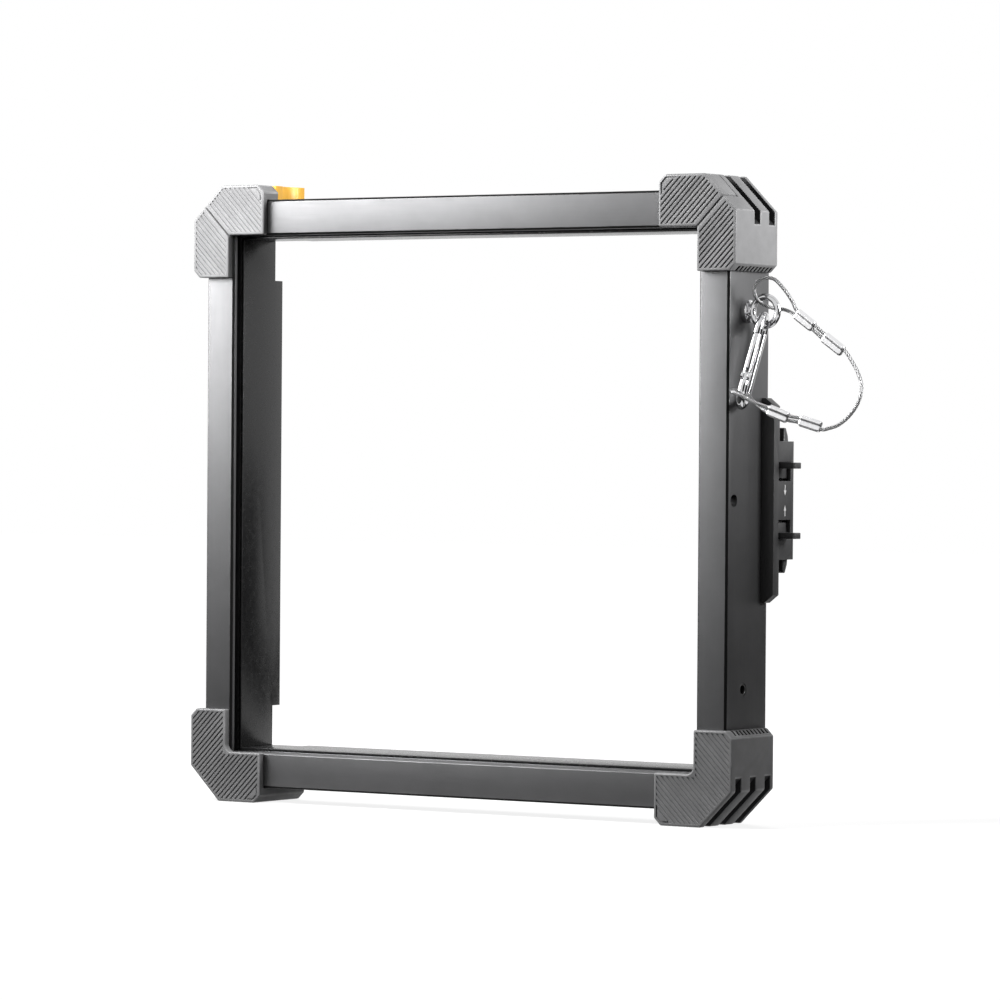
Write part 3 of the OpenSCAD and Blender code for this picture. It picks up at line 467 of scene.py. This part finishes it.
def stand_for(piece, node):
    """Lets a piece move with a CAD node's body, in the node's place."""
    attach(piece, body_of_node[node])
    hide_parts(node)
    return piece


def smooth(piece, angle=35):
    """Smooth shading over edges of less than an angle in degrees."""
    take(piece)
    bpy.ops.object.shade_smooth_by_angle(angle=radians(angle))


def darken(piece, finish, wanted):
    """Gives another finish to the faces for which wanted(middle, normal) holds."""
    piece.data.materials.append(FINISH[finish])
    edit_selected(piece, "FACE", lambda face: wanted(face.calc_center_median(), face.normal))
    piece.active_material_index = len(piece.data.materials) - 1
    bpy.ops.object.material_slot_assign()
    bpy.ops.object.mode_set(mode="OBJECT")


# Rounded edges

SAME_PLANE = 0.99999
SHARP = radians(25)
ROUND_STEPS = 3
# Ends of an edge that don't count in its room, as a share of its length
EDGE_ENDS = 0.02
LEAST_GAP = 0.005 * MM
# Share of the room that roundings may fill, and width along seams
FILL = 0.85
CLOSE_WIDTH = 0.12 * MM
# For each kind of piece, widest first: least breadth of both faces, least length of the edge, and width
ROUNDING = {
    "rail": [(1.2 * MM, 2 * MM, 0.14 * MM)],
    "bumper": [(2.2 * MM, 0.4 * MM, 1.1 * MM), (0.5 * MM, 0.8 * MM, 0.18 * MM)],
    "corner_block": [(1.2 * MM, 2 * MM, 0.3 * MM)],
    "liner": [(1.2 * MM, 1 * MM, 0.3 * MM)],
    "release": [(2 * MM, 0.4 * MM, 0.6 * MM), (0.8 * MM, 0.4 * MM, 0.2 * MM)],
    "latch_body": [(2 * MM, 1 * MM, 0.45 * MM), (0.9 * MM, 1 * MM, 0.2 * MM)],
    "latch_bolt": [(1.8 * MM, 1 * MM, 0.4 * MM), (0.8 * MM, 0.5 * MM, 0.2 * MM)],
    "screw": [(1 * MM, 0.05 * MM, 0.1 * MM)],
    "fitting": [(1 * MM, 0.05 * MM, 0.2 * MM)],
}


def flat_regions(mesh):
    """For each face, the points and the rim edges of the whole flat region that it lies in."""
    region = {}
    for start in mesh.faces:
        if start in region:
            continue
        members, todo = [start], [start]
        region[start] = members
        while todo:
            face = todo.pop()
            for edge in face.edges:
                for other in edge.link_faces:
                    if other not in region and other.normal.dot(face.normal) > SAME_PLANE:
                        region[other] = members
                        members.append(other)
                        todo.append(other)
    whole = {}
    for members in {id(m): m for m in region.values()}.values():
        points = [v.co for f in members for v in f.verts]
        rim = [e for f in members for e in f.edges if any(region[o] is not members for o in e.link_faces)]
        whole.update((face, (points, rim)) for face in members)
    return whole


def breadth(edge, points):
    """How far a flat region reaches from one of its edges."""
    a = edge.verts[0].co
    along = (edge.verts[1].co - a).normalized()
    return max(((p - a) - along * (p - a).dot(along)).length for p in points)


def room(edge, face, rim, wanted):
    """Least width of a flat region inward of an edge, as that edge's share with the roundings across it."""
    loop = next(corner for corner in edge.link_loops if corner.face == face)
    start = loop.vert.co
    along = loop.link_loop_next.vert.co - start
    length = along.length
    along.normalize()
    inward = face.normal.cross(along)
    near, far = EDGE_ENDS * length, (1 - EDGE_ENDS) * length
    least = length + 1
    for other in rim:
        if any(v in edge.verts for v in other.verts):
            continue
        (s0, t0), (s1, t1) = (((v.co - start).dot(along), (v.co - start).dot(inward)) for v in other.verts)
        if s0 > s1:
            s0, t0, s1, t1 = s1, t1, s0, t0
        if s1 < near or s0 > far:
            continue
        slope = (t1 - t0) / max(s1 - s0, 1e-9)
        ends = t0 + slope * max(near - s0, 0), t1 - slope * max(s1 - far, 0)
        share = wanted[edge] / (wanted[edge] + wanted.get(other, 0))
        least = min([least] + [t * share for t in ends if t > LEAST_GAP])
    return least


def wanted_widths(mesh, regions, steps, close):
    """Width of the first step that each convex edge meets, less where close(edge) holds."""
    wanted = {}
    for edge in mesh.edges:
        if len(edge.link_faces) != 2 or not edge.is_convex or edge.calc_face_angle(0) < SHARP:
            continue
        reach = min(breadth(edge, regions[face][0]) for face in edge.link_faces)
        for least, length, width in steps:
            if reach >= least and edge.calc_length() >= length:
                wanted[edge] = min(width, CLOSE_WIDTH) if close and close(edge) else width
                break
    return wanted


def round_edges(piece, finish, steps, close=None):
    """Rounds convex edges by steps of (least breadth of both faces, least edge length, width).

    Edges for which close(edge) holds, as along a seam, are only broken."""
    give(piece, finish)
    mesh = edit(piece)
    regions = flat_regions(mesh)
    wanted = wanted_widths(mesh, regions, steps, close)
    widths = {}
    for edge, width in wanted.items():
        fits = min(room(edge, face, regions[face][1], wanted) for face in edge.link_faces)
        widths[edge.index] = min(width, FILL * fits)
    mesh.edges.ensure_lookup_table()
    layers = mesh.edges.layers.float
    layer = layers.get("bevel_weight_edge") or layers.new("bevel_weight_edge")
    widest = max(width for *_, width in steps)
    for index, width in widths.items():
        mesh.edges[index][layer] = width / widest
    for face in mesh.faces:
        face.material_index = 0
    bmesh.update_edit_mesh(piece.data)
    bpy.ops.object.mode_set(mode="OBJECT")
    bevel = piece.modifiers.new("rounded", "BEVEL")
    bevel.limit_method = "WEIGHT"
    bevel.width = widest
    bevel.segments = ROUND_STEPS
    bevel.use_clamp_overlap = True
    bevel.loop_slide = False
    bevel.material = 1 if finish in WORN else -1
    take(piece)
    bpy.ops.object.modifier_apply(modifier=bevel.name)
    smooth(piece)


def dress(node, slot, finish=None, close=None, dark=None):
    """Rounded copy of a CAD node; dark is another finish and the test for the faces that get it."""
    piece = joined_copy(node)
    round_edges(piece, finish or slot, ROUNDING[slot], close)
    if dark:
        darken(piece, *dark)
    stand_for(piece, node)


# Rails and mouldings

LEVEL = ("bottom_rail", "top_beam", "gate_rail")
UPRIGHT = ("left_rail", "right_rail")
BUMPERS = ("bottom_left_bumper", "bottom_right_bumper", "top_left_bumper", "top_right_bumper",
           "gate_left_bumper", "gate_right_bumper")
BLOCKS = ("bottom_left_corner", "bottom_right_corner", "top_left_corner", "top_right_corner")
LINERS = ("liner_left", "liner_right", "liner_top", "liner_bottom")
SIDES = ("right", "left")
HALVES = ("upper", "lower")

# The mitre seam, the gap behind the gate, and how near an edge lies to count as theirs
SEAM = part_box("gate_left_bumper")[0].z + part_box("top_left_bumper")[1].x
GATE_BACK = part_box("gate_right_bumper")[1].y
SEAM_NEAR = 0.9 * MM
GAP_NEAR = 0.8 * MM


def at_seam(edge):
    """True for an edge along the mitre seam or the gap behind the gate."""
    if min(v.co.z for v in edge.verts) < 0:
        return False
    mitre = all(abs(v.co.z - abs(v.co.x) - SEAM) < SEAM_NEAR for v in edge.verts)
    return mitre or all(abs(v.co.y - GATE_BACK) < GAP_NEAR for v in edge.verts)


def rail_edge_painted_reflection(middle, normal):
    """True for a rail's front edge bevels, which get a painted dark reflection, but for the one that faces
    up under the opening.
    """
    up = normal.z > 0.5 and middle.z < 0
    return -0.85 < normal.y < -0.55 and not up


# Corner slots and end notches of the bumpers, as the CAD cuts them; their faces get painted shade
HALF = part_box("bottom_right_bumper")[1].x, -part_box("bottom_right_bumper")[0].z
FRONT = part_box("bottom_right_bumper")[0].y
CHAMFER = 19.6 * MM
SLOT_DEPTH = 5.2 * MM
SLOT_FIRST = 7.6 * MM
SLOT_PITCH = 15.3 * MM
SLOT_HALF = 3 * MM
SLOT_SUM = HALF[0] + HALF[1] - CHAMFER - SLOT_DEPTH * sqrt(2)
SLOT_MIDDLES = [FRONT + SLOT_FIRST + SLOT_PITCH * i for i in range(3)]
SLOT_WALLS = [middle + half for middle in SLOT_MIDDLES for half in (-SLOT_HALF, SLOT_HALF)]
NOTCH_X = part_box("right_rail")[1].x + 0.8 * MM
NOTCH_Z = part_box("top_right_bumper")[0].z
NOTCH_DEPTH = 2.6 * MM
NOTCH_FRONT = FRONT + 4.5 * MM
NOTCH_REAR = -2.3 * MM
NEAR = 0.1 * MM


def in_painted_slot_shade(middle, normal):
    """True inside a bumper's corner slots and the notches of its upright arm's end, where shade is painted.
    """
    x, y, z = abs(middle.x), middle.y, abs(middle.z)
    cheek = abs(normal.y) > 0.95 and min(abs(y - place) for place in SLOT_WALLS) < NEAR
    floor = abs(normal.y) < 0.1 and abs(x + z - SLOT_SUM) < NEAR
    slot = SLOT_SUM - NEAR < x + z and (cheek or floor)
    low = NOTCH_Z + NEAR < z < NOTCH_Z + NOTCH_DEPTH + NEAR
    notch = low and NOTCH_X - NEAR < x < HALF[0] - NEAR and max(abs(n) for n in normal) > 0.95
    return slot or notch and NOTCH_FRONT < y < NOTCH_REAR


# The rails' front edge bevels get a painted dark reflection
for node in LEVEL + UPRIGHT:
    dress(node, "rail", "rail_x" if node in LEVEL else "rail_z", dark=("rail_edge_painted_reflection", rail_edge_painted_reflection))
# The bumpers' slots and notches get painted shade
for node in BUMPERS:
    dress(node, "bumper", close=at_seam, dark=("painted_slot_shade", in_painted_slot_shade))
for node in BLOCKS:
    dress(node, "corner_block")
for node in LINERS:
    dress(node, "liner")
dress("gate_release", "release")
for side in SIDES:
    for name in ("latch_housing", "latch_cover"):
        dress(f"{side}_{name}", "latch_body")
    for half in HALVES:
        dress(f"{side}_{half}_bolt", "latch_bolt")


# Arrow marks between the windows of the squeeze latches

ARROW_LENGTH = 6 * MM
ARROW_WIDTH = 2.6 * MM
ARROW_THICK = 0.05 * MM
# Place of an arrow: forward of the housing's rear, and its tip from the middle
ARROW_IN = 9.1 * MM
ARROW_TIP = 2.5 * MM
# Rows of an arrow from its tail to its tip: place along it, and breadth
ARROW_ROWS = ((-1.0, 0.3), (-0.5, 0.3), (-0.5, 1.0), (-0.25, 0.5), (0.0, 0.0))


def arrow_mark(name):
    """Thin arrow that points up, drawn from a plane cut into rows."""
    cuts = len(ARROW_ROWS) - 1
    deselect()
    bpy.ops.mesh.primitive_plane_add(size=1, location=(0, 0, 0))
    piece = bpy.context.object
    piece.name = name
    edit(piece)
    bpy.ops.mesh.select_all(action="SELECT")
    bpy.ops.mesh.subdivide(number_cuts=cuts - 1)
    mesh = bmesh.from_edit_mesh(piece.data)
    for vertex in mesh.verts:
        x, y, _ = vertex.co
        along, wide = ARROW_ROWS[round((y + 0.5) * cuts)]
        vertex.co = (0, x * wide * ARROW_WIDTH, along * ARROW_LENGTH)
    bmesh.update_edit_mesh(piece.data)
    bpy.ops.mesh.select_all(action="SELECT")
    bpy.ops.mesh.remove_doubles(threshold=0.001 * MM)
    bpy.ops.mesh.select_all(action="SELECT")
    bpy.ops.mesh.extrude_region_move(TRANSFORM_OT_translate={"value": (ARROW_THICK, 0, 0)})
    bpy.ops.mesh.select_all(action="SELECT")
    bpy.ops.mesh.normals_make_consistent(inside=False)
    bpy.ops.object.mode_set(mode="OBJECT")
    return piece


def add_arrows():
    """Two arrows between the windows of each latch, that show which way its bolts are squeezed."""
    for side in SIDES:
        low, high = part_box(f"{side}_latch_housing")
        out = 1 if side == "right" else -1
        face = high.x if side == "right" else low.x
        for half, way in zip(HALVES, (1, -1)):
            piece = arrow_mark(f"{side}_{half}_arrow")
            turn = Matrix.Diagonal((out, -out * way, -way, 1))
            piece.data.transform(Matrix.Translation((face, high.y - ARROW_IN, way * ARROW_TIP)) @ turn)
            give(piece, "mark")
            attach(piece, body_of_node[f"{side}_latch_housing"])


add_arrows()


# Metal fittings

METAL = {
    "eye_bolt": "bright_steel",
    "hook_body": "bright_steel",
    "hook_gate": "bright_steel",
    "hook_rivet": "fastener",
    "corner_screws": "fastener",
    "gate_screws": "fastener",
    "gate_hinge_pin": "fastener",
    "release_keeper": "fastener",
    "release_screw": "fastener",
    "right_latch_screws": "fastener",
    "left_latch_screws": "fastener",
    "threaded_inserts": "insert",
}
# Screw heads: the way they face, and their radius
HEADS = {
    "corner_screws": ((0, 1, 0), 2.75 * MM),
    "gate_screws": ((0, 0, -1), 2 * MM),
    "release_screw": ((0, 0, -1), 2.75 * MM),
    "right_latch_screws": ((-1, 0, 0), 2 * MM),
    "left_latch_screws": ((1, 0, 0), 2 * MM),
}
# A head's flat face: least area in radii squared, and least number of corners
HEAD_AREA = 1.68
HEAD_CORNERS = 12
# Socket: rim as a share of the head's radius, draft and depth
SOCKET_RIM = 0.5
SOCKET_DRAFT = 0.05 * MM
SOCKET_DEPTH = 0.45 * MM


def sink_sockets(piece, facing, radius):
    """Driver sockets pressed into the screw heads of a piece."""
    def head(face):
        large = face.calc_area() > HEAD_AREA * radius ** 2 and len(face.verts) > HEAD_CORNERS
        return large and face.normal.dot(Vector(facing)) > 0.99

    edit_selected(piece, "FACE", head)
    bpy.ops.mesh.inset(thickness=SOCKET_RIM * radius, use_individual=True)
    bpy.ops.mesh.inset(thickness=SOCKET_DRAFT, depth=-SOCKET_DEPTH, use_individual=True)
    bpy.ops.object.mode_set(mode="OBJECT")


for node, finish in METAL.items():
    piece = joined_copy(node)
    if node in HEADS:
        sink_sockets(piece, *HEADS[node])
    round_edges(piece, finish, ROUNDING["screw" if node in HEADS else "fitting"])
    stand_for(piece, node)


# Springs

RELEASE_WIRE = 0.6 * MM
RELEASE_TURNS = 6
LATCH_WIRE = 0.45 * MM
LATCH_TURNS = 8
HELIX_STEPS = 24
WIRE_SIDES = 12


def spring(node, ends, turns, wire, axis):
    """Helix between two end points, that moves with its CAD node's body."""
    low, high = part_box(node)
    start, stop = ends
    across = axis.orthogonal().normalized()
    over = axis.cross(across)
    along = max(range(3), key=lambda k: abs(axis[k]))
    radius = (high - low)[(along + 1) % 3] / 2 - wire / 2
    count = turns * HELIX_STEPS
    line = []
    for i in range(count + 1):
        at = tau * i / HELIX_STEPS
        line.append(start + (stop - start) * (i / count) + radius * (cos(at) * across + sin(at) * over))
    section = [(wire / 2, tau * k / WIRE_SIDES) for k in range(WIRE_SIDES)]
    piece = tube(node + "_piece", line, section)
    give(piece, "spring")
    stand_for(piece, node)
    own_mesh(piece)


def add_springs():
    """The release's spring along x, and a spring along z for each latch bolt."""
    low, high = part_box("release_spring")
    wire = RELEASE_WIRE
    middle = (low + high) / 2
    ends = [Vector((high.x - wire / 2, middle.y, middle.z)), Vector((low.x + wire / 2, middle.y, middle.z))]
    spring("release_spring", ends, RELEASE_TURNS, wire, Vector((1, 0, 0)))
    wire = LATCH_WIRE
    for side in SIDES:
        for half in HALVES:
            low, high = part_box(f"{side}_{half}_spring")
            middle = (low + high) / 2
            near, far = sorted((low.z, high.z), key=abs)
            sign = 1 if far > 0 else -1
            ends = [Vector((middle.x, middle.y, near + sign * wire / 2)),
                    Vector((middle.x, middle.y, far - sign * wire / 2))]
            spring(f"{side}_{half}_spring", ends, LATCH_TURNS, wire,
                   Vector((0, 0, 1)))


add_springs()


# Ferrules: pressed double sleeves

FERRULE_R = 2 * MM
FERRULE_SIDES = 40
FERRULE_CUTS = 23
# Depth of the pressed bands as a share of the radius, and their waves along the sleeve
PRESS = 0.03
PRESS_WAVES = 2.7
# How far the ends are rolled in as a share of the radius, and over what length
ROLL = 0.14
ROLL_LENGTH = 0.8 * MM
# Depth of the waist between the strands as a share of the radius, and half its width
WAIST = 0.34
WAIST_HALF = 0.9 * MM
FERRULE_SMOOTH = 50


def ferrule_blank(length, spread):
    """Sleeve on its own axis: an oval drawn from a cylinder, pressed in bands, with rolled ends."""
    deselect()
    bpy.ops.mesh.primitive_cylinder_add(vertices=FERRULE_SIDES, radius=FERRULE_R, depth=length,
                                        location=(0, 0, 0))
    piece = bpy.context.object
    edit_selected(piece, "EDGE", lambda edge: abs(edge.verts[0].co.z - edge.verts[1].co.z) > 0.9 * length)
    bpy.ops.mesh.subdivide(number_cuts=FERRULE_CUTS)
    mesh = bmesh.from_edit_mesh(piece.data)
    for vertex in mesh.verts:
        x, y, z = vertex.co
        press = 1 - PRESS * max(0.0, cos(PRESS_WAVES * tau * z / length)) ** 2
        end = min(1.0, (length / 2 - abs(z)) / ROLL_LENGTH)
        roll = 1 - ROLL + ROLL * sqrt(max(0.0, 1 - (1 - end) ** 2))
        waist = 1 - WAIST * max(0.0, 1 - abs(x) / WAIST_HALF)
        vertex.co.x = (x + spread / 2 * max(-1, min(1, x / WAIST_HALF))) * roll
        vertex.co.y = y * press * roll * waist
    bmesh.update_edit_mesh(piece.data)
    bpy.ops.object.mode_set(mode="OBJECT")
    return piece


def add_ferrules():
    """The four sleeves on the rope, joined into one piece."""
    sleeves = []
    for first, second, first_end, second_end in FERRULES:
        start = (ROPE[first] + ROPE[second]) / 2
        stop = (ROPE[first_end] + ROPE[second_end]) / 2
        across = ROPE[second] - ROPE[first]
        piece = ferrule_blank((stop - start).length, across.length)
        z = (stop - start).normalized()
        x = (across - z * across.dot(z)).normalized()
        turn = Matrix((x, z.cross(x), z)).transposed().to_4x4()
        piece.data.transform(Matrix.Translation((start + stop) / 2) @ turn)
        sleeves.append(piece)
    deselect()
    for piece in sleeves:
        piece.select_set(True)
    bpy.context.view_layer.objects.active = sleeves[0]
    bpy.ops.object.join()
    piece = bpy.context.object
    piece.name = "ferrules"
    smooth(piece, FERRULE_SMOOTH)
    give(piece, "ferrule")
    return stand_for(piece, "cable_ferrules")


ferrules = add_ferrules()


# Studio

WORLD_GREY = (0.5, 0.5, 0.5, 1)
WORLD_LIGHT = 0.13
CARD_BLACK = (0.015, 0.015, 0.015)
FLOOR_GREY = (0.1, 0.1, 0.1)
FLOOR_DIM = (0.25, 0.25, 0.25, 1)
FLOOR_SIZE = 12
FLOOR_DROP = 0.2 * MM
# The floor's glow: distance from the middle, and strength there
GLOW_NEAR = (0.3, 0.85)
GLOW_FAR = (0.9, 1.0)
# Cards: place, the point that each one faces, and size
CARDS = {
    "front_card": ((0.95, -0.60, 0.1), (0.15, -0.03, 0), (0.7, 0.9)),
    "rear_card": ((0.55, 0.48, -0.15), (0.17, -0.02, -0.15), (0.6, 0.35)),
    "side_card": ((0.50, 0.25, -0.172), (0.50, 0.25, 0), (0.36, 0.8)),
    "low_card": ((-0.3, -0.41, -0.174), (-0.3, -0.41, 0), (1.4, 0.68)),
    "back_card": ((0.2, 0.45, -0.173), (0.2, 0.45, 0), (0.5, 0.5)),
    "far_card": ((-0.6, -0.76, -0.135), (0, -0.04, -0.135), (1.4, 0.08)),
    "flank_card": ((0.74, 0.20, 0.05), (0.19, -0.02, 0.05), (0.36, 0.8)),
}


def soft_light(name, place, aim, size, watts, spread, mirrored=True, matt=True):
    """Soft box with a grid that keeps its light within a spread in degrees.

    Gloss shows it only if it is mirrored, and plain colour is lit by it only if it is matt."""
    data = bpy.data.lights.new(name, "AREA")
    data.shape = "RECTANGLE"
    data.size, data.size_y = size
    data.energy = watts
    data.spread = radians(spread)
    lamp = bpy.data.objects.new(name, data)
    lamp.location = place
    lamp.rotation_euler = (Vector(aim) - Vector(place)).to_track_quat("-Z", "Y").to_euler()
    lamp.visible_glossy = mirrored
    lamp.visible_diffuse = matt
    bpy.context.scene.collection.objects.link(lamp)


def dark_card(name, place, aim, size):
    """Black card by the set, out of sight, that shows only in what mirrors it."""
    deselect()
    bpy.ops.mesh.primitive_plane_add(size=1, location=(0, 0, 0))
    card = bpy.context.object
    card.name = name
    turn = (Vector(aim) - Vector(place)).to_track_quat("Z", "Y").to_matrix().to_4x4()
    card.data.transform(Matrix.Translation(place) @ turn @ Matrix.Diagonal((*size, 1, 1)))
    card.data.materials.append(new_finish(name + "_cloth", CARD_BLACK, 0.95)[0])
    card.visible_camera = False
    card.visible_diffuse = False
    card.visible_shadow = False


def seen_bright(tree, lit, bright, output):
    """Lets camera, glossy and transmission rays see the bright shader, and all others the lit one."""
    path = add(tree, "ShaderNodeLightPath")
    either = add(tree, "ShaderNodeMath")
    either.operation = "MAXIMUM"
    anyone = add(tree, "ShaderNodeMath")
    anyone.operation = "MAXIMUM"
    tree.links.new(path.outputs["Is Camera Ray"], either.inputs[0])
    tree.links.new(path.outputs["Is Glossy Ray"], either.inputs[1])
    tree.links.new(either.outputs[0], anyone.inputs[0])
    tree.links.new(path.outputs["Is Transmission Ray"], anyone.inputs[1])
    mix = add(tree, "ShaderNodeMixShader")
    tree.links.new(anyone.outputs[0], mix.inputs["Fac"])
    tree.links.new(lit, mix.inputs[1])
    tree.links.new(bright, mix.inputs[2])
    tree.links.new(mix.outputs["Shader"], tree.nodes[output].inputs["Surface"])


def studio_world():
    """White in the picture and in mirrors, with little light of its own."""
    world = bpy.data.worlds.new("studio")
    bpy.context.scene.world = world
    world.use_nodes = True
    tree = world.node_tree
    lit = tree.nodes["Background"]
    lit.inputs["Color"].default_value = WORLD_GREY
    lit.inputs["Strength"].default_value = WORLD_LIGHT
    white = add(tree, "ShaderNodeBackground", Color=(1, 1, 1, 1))
    seen_bright(tree, lit.outputs["Background"], white.outputs["Background"], "World Output")


def studio_floor():
    """Floor that glows white in the picture, a little less near the part, and throws back little light."""
    deselect()
    bpy.ops.mesh.primitive_plane_add(size=FLOOR_SIZE, location=(0, 0, cad_box[0].z - FLOOR_DROP))
    floor = bpy.context.object
    floor.name = "studio_floor"
    material, tree, paint = new_finish("pale_floor", FLOOR_GREY, 0.8)
    place = add(tree, "ShaderNodeTexCoord")
    away = add(tree, "ShaderNodeVectorMath")
    away.operation = "LENGTH"
    fade = add(tree, "ShaderNodeMapRange", From_Min=GLOW_NEAR[0], From_Max=GLOW_FAR[0],
               To_Min=GLOW_NEAR[1], To_Max=GLOW_FAR[1])
    glow = add(tree, "ShaderNodeEmission")
    tree.links.new(place.outputs["Object"], away.inputs[0])
    tree.links.new(away.outputs["Value"], fade.inputs["Value"])
    tree.links.new(fade.outputs["Result"], glow.inputs["Strength"])
    dim = add(tree, "ShaderNodeBsdfDiffuse", Color=FLOOR_DIM)
    both = add(tree, "ShaderNodeAddShader")
    tree.links.new(glow.outputs["Emission"], both.inputs[0])
    tree.links.new(dim.outputs["BSDF"], both.inputs[1])
    seen_bright(tree, paint.outputs["BSDF"], both.outputs["Shader"], "Material Output")
    floor.data.materials.append(material)


# Soft boxes: place, the point that each one faces, size, power in watts, and spread
soft_light("key_box", (-0.58, -0.45, 0.43), (-0.11, 0, 0.19), (0.6, 0.6), 7.0, 95, matt=False)
soft_light("near_box", (-0.15, -0.42, 0.36), (-0.1, -0.04, 0.1), (0.15, 0.15), 5.8, 180, mirrored=False)
soft_light("side_box", (0.62, 0.12, 0.26), (-0.13, -0.02, 0.17), (0.25, 0.25), 1.2, 80)
soft_light("back_box", (-0.45, 0.75, 0.5), (0, 0, 0), (0.6, 0.6), 5, 120, mirrored=False)
for name, (place, aim, size) in CARDS.items():
    dark_card(name, place, aim, size)
studio_world()
studio_floor()
bpy.context.scene.view_settings.view_transform = "Standard"
